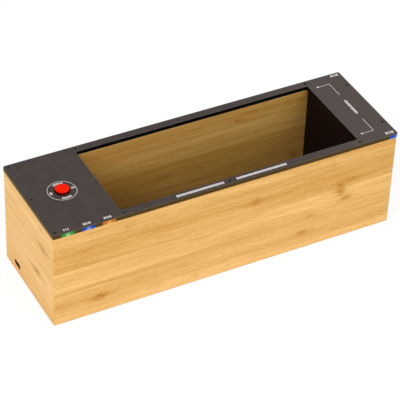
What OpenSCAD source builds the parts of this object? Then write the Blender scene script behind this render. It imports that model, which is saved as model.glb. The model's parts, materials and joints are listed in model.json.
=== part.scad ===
// Open-topped bamboo box that a phone stands in, with a push button and status lights.
// X runs along the box, Y from the front to the back, Z up from the surface it stands on.
// The origin is under the middle of the box.

/* [Case] */
// Length of the bamboo case
case_l = 265; // [250:1:290]
// Width of the bamboo case
case_w = 82.2; // [80:0.2:96]
// Height of the bamboo case without the top plate
case_h = 75.8; // [70:0.2:90]
// Thickness of the four case walls
wall_t = 6; // [5.6:0.2:7]
// Radius of the upright outer edges
edge_r = 2.5; // [1:0.5:4]
// Radius of the bottom outer edges
bottom_r = 1.2; // [0.6:0.2:2]
// Radius of the outer edges under the top plate
rim_r = 0.4; // [0.2:0.1:0.6]
// Thickness of the base panel
base_t = 5; // [4:0.5:6]

/* [Top plate] */
// Thickness of the top plate
plate_t = 3.2; // [3:0.1:5]
// Radius of the plate's corners
plate_r = 1.6; // [0.6:0.2:2.4]
// Length of the deck left of the phone well
left_deck = 51.7; // [50:0.1:56]
// Length of the deck right of the phone well
right_deck = 29.7; // [29:0.1:40]
// Width of the rim in front of the well and behind it
rim_w = 6; // [5.8:0.1:9]
// Radius of the well cut-out's corners
well_r = 1.2; // [0.6:0.2:3]
// Plate left standing over each status window
skin_t = 0.5; // [0.4:0.1:0.8]

/* [Status windows] */
// Width of a status window in the plate's front edge
window_w = 9.8; // [8:0.2:12]
// Distance from one status window to the next
window_pitch = 15; // [14:0.2:18]
// Distance from the left end to the first window
window_start = 6.2; // [4:0.2:8]
// Width of a corner window on each face
corner_window_w = 6.8; // [5:0.2:9]

/* [Button] */
// Diameter of the red cap
cap_d = 10.2; // [9:0.2:12]
// Height of the cap above the plate when it isn't pressed
cap_rise = 2.9; // [2.2:0.1:4]
// How far the cap travels when pressed
cap_travel = 1.5; // [0.5:0.1:1.8]

/* [Screws and feet] */
// Diameter of a plate screw's countersunk head
screw_head_d = 3.4; // [3:0.2:4]
// Distance from the case's outer faces to the screws' middles
screw_inset = 3; // [2.6:0.1:3.4]
// Diameter of a foot
foot_d = 10; // [8:1:14]
// How far the feet stand proud of the case
foot_rise = 0.6; // [0.4:0.1:1]

/* [Sound] */
// Outer diameter of the speaker's frame
speaker_d = 50; // [40:1:56]
// Height of the speaker's middle above the surface
speaker_z = 41; // [38:0.5:44]
// Diameter of each hole in front of the speaker
sound_hole_d = 4.2; // [3:0.2:5]
// Distance from one ring of holes to the next
sound_hole_pitch = 5.8; // [5.4:0.2:6]
// Diameter of each hole in the mesh at the end of the well
mesh_hole_d = 1.4; // [1:0.1:1.5]
// Distance from one hole in the mesh to the next
mesh_hole_pitch = 2.1; // [2.1:0.1:4]

/* [Hidden] */
$fn = 48;
cut = 1;                 // how far a cutting tool runs past the face that it cuts
half_l = case_l / 2;
half_w = case_w / 2;
case_z = foot_rise;      // underside of the bamboo
rim_z = case_z + case_h; // top of the bamboo, where the plate lies
top_z = rim_z + plate_t; // top of the plate

// Base panel: let into a rebate, with its underside just inside the case's bottom edge
rebate_d = wall_t / 2;
base_inset = 0.8;
base_z = case_z + base_inset;
base_top_z = base_z + base_t;
base_gap = 0.1;

// Phone well
well_x0 = left_deck - half_l;
well_x1 = half_l - right_deck;
well_lip = 1.5;          // how far the plate overhangs the left partition
floor_t = 3;
pad_t = 1.2;
floor_z = base_top_z + floor_t;
pad_top_z = floor_z + pad_t;
channel_w = 8;           // groove under the floor for the ribbon
channel_h = 1.6;

// Partitions, let into grooves in the front and back walls
partition_t = 5;
groove_d = 2;
partition_x = well_x0 - well_lip - partition_t;
mesh_t = 0.8;
mesh_lip = 0.9;          // how far the plate overhangs the mesh
mesh_x = well_x1 + mesh_lip;
mesh_margin = 2;         // plain edge left round the mesh's holes
baffle_t = 4;
baffle_x = mesh_x + mesh_t;
baffle_back_x = baffle_x + baffle_t;
inner_w = case_w - 2 * wall_t;
bay_x0 = wall_t - half_l;  // left bay, for the electronics
bay_x1 = half_l - wall_t;  // far end of the right bay, for the speaker

// Screws through the plate into the walls
pilot_r = 0.8;
shank_r = 0.75;
plate_hole_r = 0.9;
sink_gap = 0.03;
plate_screw_l = 11;      // length of a screw below the plate
screw_point_l = 1.5;
pilot_spare = 0.5;       // how far a pilot hole runs past the screw's point
head_depth = screw_head_d / 2 - plate_hole_r;
mid_screw_y = 24.5;      // screws on the right end, either side of the middle
well_screw_x0 = well_x0 + 1;
screw_spots = [
  [screw_inset - half_l, screw_inset - half_w], [screw_inset - half_l, 0],
  [screw_inset - half_l, half_w - screw_inset],
  [well_screw_x0, screw_inset - half_w], [well_screw_x0, half_w - screw_inset],
  [0, screw_inset - half_w], [0, half_w - screw_inset],
  [well_x1, screw_inset - half_w], [well_x1, half_w - screw_inset],
  [half_l - screw_inset, -mid_screw_y], [half_l - screw_inset, mid_screw_y]
];

// Feet
foot_t = base_inset + foot_rise;
foot_x = half_l - 22;
foot_y = half_w - 16;

// Status windows and the light boards behind them
window_h = plate_t - skin_t;
window_depth = wall_t + 2.5;
led_w = 2.8;
led_d = 1.4;
led_h = 1.4;
led_gap = 0.2;
light_board_t = 1.2;
light_board_d = 8;
pocket_depth = window_depth + led_gap + led_d + 0.6;
corner_reach = 10;       // how far a corner window reaches in along the plate
corner_board_w = 12;
corner_led_in = 9.2;     // a corner light's middle, in from both outer faces

// Button and switch
button_x = (bay_x0 + partition_x) / 2;
cap_r = cap_d / 2;
cap_gap = 0.3;
cap_top_z = top_z + cap_rise;
cap_dome_r = 22;         // radius of the cap's slightly domed top
cap_edge_r = 0.9;        // radius between the dome and the side
switch_w = 12;
switch_h = 6.6;
board_top_z = 65.6;
switch_top_z = board_top_z + switch_h;
cap_z = switch_top_z + cap_travel + 0.5;
cap_h = cap_top_z - cap_z;
plunger_w = 3.8;
plunger_grip = 4.5;      // length of plunger inside the cap
plunger_gap = 0.08;      // running clearance round the plunger in the switch
plunger_z = board_top_z + 2.2;
plunger_top_z = cap_z + plunger_grip;

// Main board, on two bamboo rails
board_t = 1.6;
board_z = board_top_z - board_t;
board_x = partition_x - bay_x0 - 1;
board_y = 58;
rail_w = 5;
rail_h = 6;
board_screw_y = 25;
board_screw_r = 1;
board_screw_l = 6;
rail_screw_in = 2.9;

// Charging socket
socket_y = 19.6;
socket_z = 9.2;
socket_w = 8.94;
socket_h = 3.26;
socket_l = 7.35;
shell_t = 0.3;
slot_gap = 0.4;
socket_recess_d = 3;     // the left wall is routed thinner behind the socket
socket_recess_w = 20;
socket_recess_h = 5.4;
charge_board_t = 1;
charge_board_z = socket_z - socket_h / 2 - charge_board_t;
charge_board_l = 22;
charge_board_w = 17;
socket_inset = 1.2;      // from the case's end face to the socket's mouth

// Battery
battery_l = 29;
battery_w = 44;
battery_h = 9.5;
tape_t = 0.8;
battery_x = bay_x0 + 3;
battery_y = 2 - half_w + wall_t;

// Speaker
sound_rings = 3;
gasket_t = 1.6;
cone_hole_d = 43;        // inside of the gasket and of the speaker's flange
speaker_face_x = baffle_back_x + gasket_t;
ear_d = 58;              // circle of the four ear screws
ear_w = 7;
flange_t = 1.2;
basket_h = 9.4;
basket_r = 13.5;         // radius of the frame's back, where the magnet sits
magnet_r = 12.5;
speaker_screw_l = 6;

// Places that repeat
module at_screws() {
  for (spot = screw_spots) translate([spot[0], spot[1], 0]) children();
}

module at_four(x, y) {
  for (sx = [-1, 1], sy = [-1, 1]) translate([sx * x, sy * y, 0]) children();
}

module front_and_back() {
  children();
  mirror([0, 1, 0]) children();
}

// Flat shapes
module rounded_rect(l, w, r) {
  square([l, w - 2 * r], center = true);
  square([l - 2 * r, w], center = true);
  for (sx = [-1, 1], sy = [-1, 1]) translate([sx * (l / 2 - r), sy * (w / 2 - r)]) circle(r);
}

module corner_waste(r) {
  difference() {
    translate([-cut, -cut]) square(r + cut);
    translate([r, r]) circle(r);
  }
}

module stadium(w, h) {
  square([w - h, h], center = true);
  for (s = [-1, 1]) translate([s * (w - h) / 2, 0]) circle(h / 2);
}

// Section of a case wall: outer face at 0, inner face at wall_t
module wall_section() {
  difference() {
    square([wall_t, case_h]);
    corner_waste(bottom_r);
    translate([0, case_h]) mirror([0, 1]) corner_waste(rim_r);
    translate([wall_t - rebate_d, -cut]) square([rebate_d + cut, base_top_z - case_z + cut]);
  }
}

// A wall run along the front, cut to its mitres and to the rounded case outline
module mitred_wall(l, w) {
  intersection() {
    translate([-l / 2, -w / 2, case_z]) rotate([90, 0, 90]) linear_extrude(l) wall_section();
    linear_extrude(rim_z) rounded_rect(l, w, edge_r);
    linear_extrude(rim_z) polygon([
      [-l / 2, -w / 2], [l / 2, -w / 2],
      [l / 2 - wall_t, wall_t - w / 2], [wall_t - l / 2, wall_t - w / 2]
    ]);
  }
}

module pilot_holes() {
  h = plate_screw_l + pilot_spare;
  at_screws() translate([0, 0, rim_z - h]) cylinder(h = h + cut, r = pilot_r);
}

module partition_grooves() {
  for (slot = [[partition_x, partition_t], [baffle_x, baffle_t]])
    translate([slot[0], -half_w + wall_t - groove_d, base_top_z])
      cube([slot[1], groove_d + cut, case_h]);
}

module long_wall() {
  difference() {
    mitred_wall(case_l, case_w);
    partition_grooves();
    pilot_holes();
  }
}

// Bamboo case
module front_panel() {
  color([0.90, 0.71, 0.42]) long_wall();
}

module back_panel() {
  color([0.90, 0.71, 0.42]) mirror([0, 1, 0]) long_wall();
}

module left_panel() {
  color([0.91, 0.73, 0.45]) difference() {
    rotate([0, 0, -90]) mitred_wall(case_w, case_l);
    pilot_holes();
    translate([-half_l - cut, socket_y, socket_z]) rotate([90, 0, 90])
      linear_extrude(wall_t + 2 * cut) stadium(socket_w + 2 * slot_gap, socket_h + 2 * slot_gap);
    translate([bay_x0 - socket_recess_d, socket_y - socket_recess_w / 2, base_top_z])
      cube([socket_recess_d + cut, socket_recess_w, socket_recess_h]);
  }
}

module right_panel() {
  color([0.89, 0.70, 0.41]) difference() {
    rotate([0, 0, 90]) mitred_wall(case_w, case_l);
    pilot_holes();
  }
}

module base_panel() {
  inset = 2 * (wall_t - rebate_d + base_gap);
  color([0.85, 0.66, 0.38]) translate([0, 0, base_z + base_t / 2])
    cube([case_l - inset, case_w - inset, base_t], center = true);
}

module feet() {
  color([0.12, 0.12, 0.12]) at_four(foot_x, foot_y) rotate_extrude() difference() {
    square([foot_d / 2, foot_t]);
    translate([foot_d / 2, 0]) mirror([1, 0]) corner_waste(0.4);
  }
}

// Partitions and floor of the well
module partition_board(x, t) {
  translate([x, -inner_w / 2 - groove_d, base_top_z])
    cube([t, inner_w + 2 * groove_d, rim_z - base_top_z]);
}

module ribbon_channel(x, l) {
  translate([x, -channel_w / 2, base_top_z - cut]) cube([l, channel_w, channel_h + cut]);
}

module left_partition() {
  color([0.80, 0.61, 0.34]) difference() {
    partition_board(partition_x, partition_t);
    ribbon_channel(partition_x - cut, partition_t + 2 * cut);
  }
}

// Rings of holes, six more in each ring than in the one inside it
module sound_holes(h) {
  cylinder(h = h, d = sound_hole_d, $fn = 24);
  for (ring = [1:sound_rings], i = [1:6 * ring]) rotate([0, 0, i * 60 / ring])
    translate([ring * sound_hole_pitch, 0, 0]) cylinder(h = h, d = sound_hole_d, $fn = 24);
}

module speaker_baffle() {
  color([0.16, 0.12, 0.10]) difference() {
    partition_board(baffle_x, baffle_t);
    ribbon_channel(baffle_x - cut, baffle_t + 2 * cut);
    facing_well(baffle_x - cut) sound_holes(baffle_t + 2 * cut);
    at_ears(baffle_x - cut) cylinder(h = baffle_t + 2 * cut, r = pilot_r);
  }
}

// Perforated sheet: upright columns of holes, every other one shifted by half a hole pitch
module well_mesh() {
  mesh_h = rim_z - floor_z;
  column_pitch = mesh_hole_pitch * sqrt(3) / 2;
  side_columns = floor((inner_w / 2 - mesh_margin - mesh_hole_d / 2) / column_pitch);
  steps = floor((mesh_h - 2 * mesh_margin - mesh_hole_d) / mesh_hole_pitch);
  color([0.10, 0.07, 0.06]) translate([mesh_x, 0, floor_z]) rotate([90, 0, 90])
    linear_extrude(mesh_t) difference() {
      translate([-inner_w / 2, 0]) square([inner_w, mesh_h]);
      for (column = [-side_columns:side_columns]) {
        gaps = steps - abs(column) % 2;
        for (row = [0:gaps])
          translate([column * column_pitch, mesh_h / 2 + (row - gaps / 2) * mesh_hole_pitch])
            circle(d = mesh_hole_d, $fn = 16);
      }
    }
}

module well_floor() {
  x0 = partition_x + partition_t;
  color([0.80, 0.61, 0.34]) difference() {
    translate([x0, -inner_w / 2, base_top_z]) cube([baffle_x - x0, inner_w, floor_t]);
    ribbon_channel(x0 - cut, baffle_x - x0 + 2 * cut);
  }
}

module floor_pad() {
  x0 = partition_x + partition_t;
  color([0.09, 0.08, 0.08]) translate([x0, -inner_w / 2, floor_z])
    cube([mesh_x - x0, inner_w, pad_t]);
}

// Top plate
module countersink(gap, h) {
  r = screw_head_d / 2 + gap;
  translate([0, 0, top_z - head_depth]) cylinder(h = head_depth, r1 = r - head_depth, r2 = r);
  translate([0, 0, top_z]) cylinder(h = h, r = r);
}

module window_pocket(depth, h) {
  translate([0, -half_w - cut, rim_z - cut]) cube([window_w, depth + cut, h + cut]);
}

module corner_shape() {
  translate([half_l, -half_w]) polygon([
    [0, 0], [-corner_window_w, 0], [-corner_reach, wall_t + 1],
    [-wall_t - 1, corner_reach], [0, corner_window_w]
  ]);
}

module corner_led_spot(h) {
  translate([half_l - corner_led_in, corner_led_in - half_w, h]) rotate([0, 0, 45]) children();
}

module at_windows() {
  for (i = [0:2]) translate([window_start - half_l + i * window_pitch, 0, 0]) children();
}

module top_plate() {
  color([0.25, 0.22, 0.21]) difference() {
    translate([0, 0, rim_z]) linear_extrude(plate_t) difference() {
      rounded_rect(case_l, case_w, plate_r);
      translate([(well_x0 + well_x1) / 2, 0])
        rounded_rect(well_x1 - well_x0, case_w - 2 * rim_w, well_r);
    }
    at_screws() countersink(0, cut);
    at_screws() translate([0, 0, rim_z - cut]) cylinder(h = plate_t + 2 * cut, r = plate_hole_r);
    translate([button_x, 0, rim_z - cut])
      cylinder(h = plate_t + 2 * cut, r = cap_r + cap_gap, $fn = 72);
    at_windows() window_pocket(pocket_depth, window_h);
    front_and_back() translate([0, 0, rim_z - cut]) linear_extrude(window_h + cut) corner_shape();
    front_and_back() corner_led_spot(rim_z + (window_h - cut) / 2)
      cube([led_w + 1, led_d + 2.4, window_h + cut], center = true);
  }
}

module plate_screw() {
  cross_l = screw_head_d * 0.6;
  cross_w = 0.7;
  cross_depth = 0.65;
  cross_turn = 20;
  tip_r = 0.15;
  point_z = rim_z - plate_screw_l;
  difference() {
    union() {
      translate([0, 0, top_z - head_depth]) cylinder(
        h = head_depth, r1 = screw_head_d / 2 - head_depth - sink_gap, r2 = screw_head_d / 2 - sink_gap
      );
      translate([0, 0, point_z + screw_point_l])
        cylinder(h = top_z - head_depth - point_z - screw_point_l, r = shank_r);
      translate([0, 0, point_z]) cylinder(h = screw_point_l, r1 = tip_r, r2 = shank_r);
    }
    for (a = [0, 90]) translate([0, 0, top_z]) rotate([0, 0, a + cross_turn])
      cube([cross_l, cross_w, 2 * cross_depth], center = true);
  }
}

module plate_screws() {
  color([0.10, 0.10, 0.10]) at_screws() plate_screw();
}

// Status windows in the plate's edge
module status_window(i) {
  translate([window_start - half_l + i * window_pitch, -half_w, rim_z])
    cube([window_w, window_depth, window_h]);
}

module window_green() {
  color([0.16, 0.66, 0.24]) status_window(0);
}

module window_blue() {
  color([0.12, 0.28, 0.75]) status_window(1);
}

module window_orange() {
  color([0.96, 0.60, 0.20]) status_window(2);
}

module corner_windows() {
  color([0.08, 0.25, 0.72]) front_and_back() translate([0, 0, rim_z]) linear_extrude(window_h)
    intersection() {
      rounded_rect(case_l, case_w, plate_r);
      corner_shape();
    }
}

module status_light_board() {
  color([0.10, 0.35, 0.18]) translate([bay_x0 + 0.5, wall_t - half_w, rim_z - light_board_t])
    cube([partition_x - bay_x0 - 1, light_board_d, light_board_t]);
}

module led_block() {
  translate([-led_w / 2, 0, 0]) cube([led_w, led_d, led_h]);
}

module status_leds() {
  color([0.95, 0.94, 0.88]) at_windows()
    translate([window_w / 2, window_depth + led_gap - half_w, rim_z]) led_block();
}

module corner_light_boards() {
  color([0.10, 0.35, 0.18]) front_and_back()
    translate([bay_x1 - corner_board_w, wall_t - half_w, rim_z - light_board_t])
      cube([corner_board_w, corner_board_w, light_board_t]);
}

module corner_leds() {
  color([0.95, 0.94, 0.88]) front_and_back() corner_led_spot(rim_z)
    translate([0, led_gap - led_d / 2, 0]) led_block();
}

// Button and its switch
// The domed top and the rounded edge meet where both slope alike
function cap_outline() =
  let (
    edge_x = cap_r - cap_edge_r,
    slope = asin(edge_x / (cap_dome_r - cap_edge_r)),
    edge_z = cap_h - cap_dome_r + (cap_dome_r - cap_edge_r) * cos(slope)
  ) concat(
    [[0, 0], [cap_r, 0]],
    [for (i = [0:8]) let (a = i * (90 - slope) / 8)
      [edge_x + cap_edge_r * cos(a), edge_z + cap_edge_r * sin(a)]],
    [for (i = [1:6]) let (a = slope * (1 - i / 6))
      [cap_dome_r * sin(a), cap_h - cap_dome_r * (1 - cos(a))]]
  );

module button_cap() {
  color([0.95, 0.16, 0.05]) translate([button_x, 0, cap_z]) difference() {
    rotate_extrude($fn = 96) polygon(cap_outline());
    translate([0, 0, (plunger_grip - cut) / 2])
      cube([plunger_w, plunger_w, plunger_grip + cut], center = true);
    difference() {
      translate([0, 0, -cut]) cylinder(h = plunger_grip - 1 + cut, r = cap_r - 1);
      translate([0, 0, -2 * cut]) cylinder(h = plunger_grip + 2 * cut, r = plunger_w * 0.95);
    }
  }
}

module switch_plunger() {
  h = plunger_top_z - plunger_z;
  color([0.92, 0.92, 0.90]) translate([button_x, 0, plunger_z + h / 2])
    cube([plunger_w, plunger_w, h], center = true);
}

module switch_body() {
  hole = plunger_w + 2 * plunger_gap;
  floor_gap = plunger_z - cap_travel - board_top_z - 0.1;
  color([0.12, 0.12, 0.13]) translate([button_x, 0, board_top_z]) difference() {
    linear_extrude(switch_h) rounded_rect(switch_w, switch_w, 0.8);
    translate([0, 0, floor_gap + switch_h / 2]) cube([hole, hole, switch_h], center = true);
    translate([0, 0, switch_h - 0.6]) difference() {
      linear_extrude(cut) rounded_rect(switch_w + cut, switch_w + cut, 0.8);
      translate([0, 0, -cut]) cylinder(h = 3 * cut, r = switch_w / 2 - 1.4);
    }
  }
}

// Main board
module at_board_screws(h) {
  for (x = [bay_x0 + rail_screw_in, partition_x - rail_screw_in], y = [-board_screw_y, board_screw_y])
    translate([x, y, h]) children();
}

module main_board() {
  color([0.07, 0.30, 0.16]) difference() {
    translate([button_x - board_x / 2, -board_y / 2, board_z]) cube([board_x, board_y, board_t]);
    at_board_screws(board_z - cut) cylinder(h = board_t + 2 * cut, r = board_screw_r + 0.1);
  }
}

module board_chips() {
  color([0.10, 0.10, 0.11]) {
    translate([button_x - 5, 13, board_top_z]) cube([10, 10, 1.2]);
    translate([button_x - 12, -24, board_top_z]) cube([5, 6, 1.5]);
    translate([button_x + 5, -22, board_top_z]) cylinder(h = 5.4, d = 5);
    translate([button_x - 6, -15, board_top_z]) cube([12, 5.8, 3.2]);
    translate([button_x - 13, 12, board_top_z]) cube([4, 8, 2.4]);
  }
}

module board_rails() {
  color([0.80, 0.61, 0.34]) difference() {
    for (x = [bay_x0, partition_x - rail_w])
      translate([x, -board_y / 2, board_z - rail_h]) cube([rail_w, board_y, rail_h]);
    at_board_screws(board_z - board_screw_l) cylinder(h = board_screw_l + cut, r = pilot_r);
  }
}

module board_screws() {
  color([0.70, 0.70, 0.72]) at_board_screws(board_top_z) difference() {
    union() {
      cylinder(h = 1.3, d1 = 3.8, d2 = 3.2);
      translate([0, 0, 0.2 - board_screw_l]) cylinder(h = board_screw_l, r = shank_r);
    }
    for (a = [0, 90]) translate([0, 0, 1.3]) rotate([0, 0, a]) cube([2.2, 0.5, 1.2], center = true);
  }
}

// Power
module battery_tape() {
  color([0.85, 0.85, 0.82]) translate([battery_x + 4, battery_y + 4, base_top_z])
    cube([battery_l - 8, battery_w - 8, tape_t]);
}

module battery_pack() {
  r = battery_h / 4;
  color([0.72, 0.74, 0.78])
    translate([battery_x + battery_l / 2, battery_y, base_top_z + tape_t + battery_h / 2])
      rotate([-90, 0, 0]) linear_extrude(battery_w) rounded_rect(battery_l, battery_h, r);
}

module charge_board() {
  x0 = bay_x0 - socket_recess_d;
  color([0.07, 0.22, 0.42]) {
    translate([x0, socket_y - charge_board_w / 2, charge_board_z])
      cube([charge_board_l, charge_board_w, charge_board_t]);
    for (x = [6, 17], y = [-5, 5])
      translate([x0 + x, socket_y + y, base_top_z]) cylinder(h = charge_board_z - base_top_z, d = 3);
  }
}

module usb_socket() {
  color([0.75, 0.76, 0.78]) translate([socket_inset - half_l, socket_y, socket_z]) rotate([90, 0, 90]) {
    difference() {
      linear_extrude(socket_l) stadium(socket_w, socket_h);
      translate([0, 0, -cut]) linear_extrude(socket_l - 0.8 + cut)
        stadium(socket_w - 2 * shell_t, socket_h - 2 * shell_t);
    }
    translate([-3.35, -0.35, 0.8]) cube([6.7, 0.7, socket_l - 1.2]);
  }
}

// Speaker, facing the well
module at_ears(x) {
  for (a = [45:90:315]) translate([x, 0, speaker_z]) rotate([a, 0, 0])
    translate([0, ear_d / 2, 0]) rotate([0, 90, 0]) children();
}

module facing_well(x) {
  translate([x, 0, speaker_z]) rotate([0, 90, 0]) children();
}

module speaker_gasket() {
  color([0.08, 0.08, 0.08]) facing_well(baffle_back_x) difference() {
    cylinder(h = gasket_t, d = speaker_d, $fn = 96);
    translate([0, 0, -cut]) cylinder(h = gasket_t + 2 * cut, d = cone_hole_d, $fn = 96);
  }
}

module speaker_ear() {
  difference() {
    union() {
      cylinder(h = flange_t, d = ear_w);
      translate([0, -ear_w / 2, 0]) cube([ear_d / 2 - speaker_d / 2 + 1.4, ear_w, flange_t]);
    }
    translate([0, 0, -cut]) cylinder(h = flange_t + 2 * cut, r = plate_hole_r);
  }
}

module speaker_frame() {
  color([0.18, 0.18, 0.19]) {
    facing_well(speaker_face_x) difference() {
      rotate_extrude($fn = 96) polygon([
        [cone_hole_d / 2, 0], [speaker_d / 2, 0], [speaker_d / 2, flange_t],
        [speaker_d / 2 - 2.2, flange_t], [basket_r, basket_h - flange_t], [basket_r, basket_h],
        [6.6, basket_h], [6.6, basket_h - 1.4], [basket_r - 1.3, basket_h - 1.4], [cone_hole_d / 2, 2.2]
      ]);
      for (a = [0:90:270]) rotate([0, 0, a]) translate([basket_r + 1, -6, 2.6]) cube([9, 12, 4.4]);
    }
    at_ears(speaker_face_x) rotate([0, 0, -90]) speaker_ear();
  }
}

module speaker_magnet() {
  color([0.30, 0.30, 0.32]) facing_well(speaker_face_x + basket_h) rotate_extrude($fn = 72) polygon([
    [0, 0], [magnet_r, 0], [magnet_r, 5], [magnet_r - 1, 5], [magnet_r - 1, 6.2], [0, 6.2]
  ]);
}

module speaker_cone() {
  color([0.13, 0.13, 0.14]) facing_well(speaker_face_x) rotate_extrude($fn = 96) {
    polygon([
      [0, 3.6], [3, 4.1], [6.2, 5.4], [17.4, 1.2], [17.4, 1.8], [6.4, 7.8], [6.2, 9.3], [5.8, 9.3],
      [5.8, 5.9], [3, 4.7], [0, 4.2]
    ]);
    translate([19.3, 1.2]) difference() {
      circle(2.2);
      circle(1.8);
      translate([-3, 0.4]) square([6, 3]);
    }
  }
}

module speaker_terminals() {
  color([0.55, 0.35, 0.18]) translate([speaker_face_x + basket_h, -5, speaker_z - 19])
    cube([1, 10, 19 - magnet_r - 0.2]);
}

module speaker_screws() {
  color([0.65, 0.65, 0.67]) at_ears(speaker_face_x + 1.2) {
    cylinder(h = 1.2, d = 3.4);
    translate([0, 0, 0.2 - speaker_screw_l]) cylinder(h = speaker_screw_l, r = shank_r);
  }
}

// Wiring
module signal_ribbon() {
  w = 6.4;
  t = 1;
  x0 = partition_x - 6;
  x1 = speaker_face_x + basket_h;
  up_z = speaker_z - 15;
  color([0.55, 0.55, 0.58]) {
    translate([x0, -w / 2, base_top_z]) cube([x1 - x0, w, t]);
    translate([x0, -w / 2, base_top_z]) cube([t, w, board_z - base_top_z]);
    translate([x1 - t, -w / 2, base_top_z]) cube([t, w, up_z - base_top_z]);
  }
}

module battery_lead() {
  x0 = battery_x + battery_l / 2;
  y0 = battery_y + battery_w;
  color([0.75, 0.10, 0.08]) {
    translate([x0, y0, base_top_z + 4]) cube([2.4, 3, 1.2]);
    translate([x0, y0 + 1.8, base_top_z + 4]) cube([2.4, 1.2, board_z - base_top_z - 4]);
  }
}

front_panel();
back_panel();
left_panel();
right_panel();
base_panel();
feet();
left_partition();
speaker_baffle();
well_mesh();
well_floor();
floor_pad();
top_plate();
plate_screws();
window_green();
window_blue();
window_orange();
corner_windows();
status_light_board();
status_leds();
corner_light_boards();
corner_leds();
button_cap();
switch_plunger();
switch_body();
main_board();
board_chips();
board_rails();
board_screws();
battery_pack();
battery_tape();
charge_board();
usb_socket();
speaker_frame();
speaker_magnet();
speaker_cone();
speaker_gasket();
speaker_terminals();
speaker_screws();
signal_ribbon();
battery_lead();
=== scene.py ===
"""Looks of an open-topped bamboo phone box: laminated case, dark top plate, lit windows, push button.

Lengths are metres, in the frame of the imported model: X along the box, Y from the front to the back,
Z up from the surface that the box stands on. A range is what Graph.ramp takes after the value that it
reads: where the reading starts and ends, and the results there when they aren't 0 and 1.
"""

import json
import logging
import math
from abc import ABC, abstractmethod
from dataclasses import dataclass, field
from enum import Enum
from typing import Sequence, Union

import bmesh
import bpy
from mathutils import Matrix, Vector

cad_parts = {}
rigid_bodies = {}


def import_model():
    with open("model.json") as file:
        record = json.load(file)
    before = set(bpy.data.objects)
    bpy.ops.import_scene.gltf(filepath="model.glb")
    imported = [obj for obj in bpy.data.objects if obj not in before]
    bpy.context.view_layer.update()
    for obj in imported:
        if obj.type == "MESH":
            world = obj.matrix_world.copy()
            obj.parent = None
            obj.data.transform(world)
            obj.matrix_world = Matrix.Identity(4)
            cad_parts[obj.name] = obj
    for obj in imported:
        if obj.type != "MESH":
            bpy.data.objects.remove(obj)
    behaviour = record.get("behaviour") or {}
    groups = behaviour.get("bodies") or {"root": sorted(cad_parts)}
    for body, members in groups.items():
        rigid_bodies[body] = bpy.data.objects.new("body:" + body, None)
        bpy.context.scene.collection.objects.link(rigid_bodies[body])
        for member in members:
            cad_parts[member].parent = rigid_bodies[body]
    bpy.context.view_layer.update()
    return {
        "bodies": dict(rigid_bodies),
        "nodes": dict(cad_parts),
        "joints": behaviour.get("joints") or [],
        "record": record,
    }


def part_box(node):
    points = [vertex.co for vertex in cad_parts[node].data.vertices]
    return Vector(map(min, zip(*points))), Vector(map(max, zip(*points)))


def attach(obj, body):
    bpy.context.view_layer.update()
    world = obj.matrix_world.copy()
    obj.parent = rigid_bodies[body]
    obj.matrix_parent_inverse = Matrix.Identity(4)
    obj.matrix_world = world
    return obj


LOG = logging.getLogger("phone_box")
MM = 0.001

Socket = bpy.types.NodeSocket
Value = Union[Socket, float, Sequence[float], None]
Colour = tuple[float, float, float, float]
Point = tuple[float, float]
Range = tuple[float, ...]


def colour(code: str) -> Colour:
    """The linear colour of a hex code.

    Args:
        code: Six hex digits, such as E8B870.

    Returns:
        Red, green, blue and a full alpha.
    """
    knee, slope, shift, power = 0.04045, 12.92, 0.055, 2.4
    channels = [int(code[i : i + 2], 16) / 255 for i in (0, 2, 4)]
    linear = [c / slope if c <= knee else ((c + shift) / (1 + shift)) ** power for c in channels]
    return (linear[0], linear[1], linear[2], 1.0)


class Body(Enum):
    """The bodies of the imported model, which move by themselves."""

    CASE = "case"
    BUTTON = "button"


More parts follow.
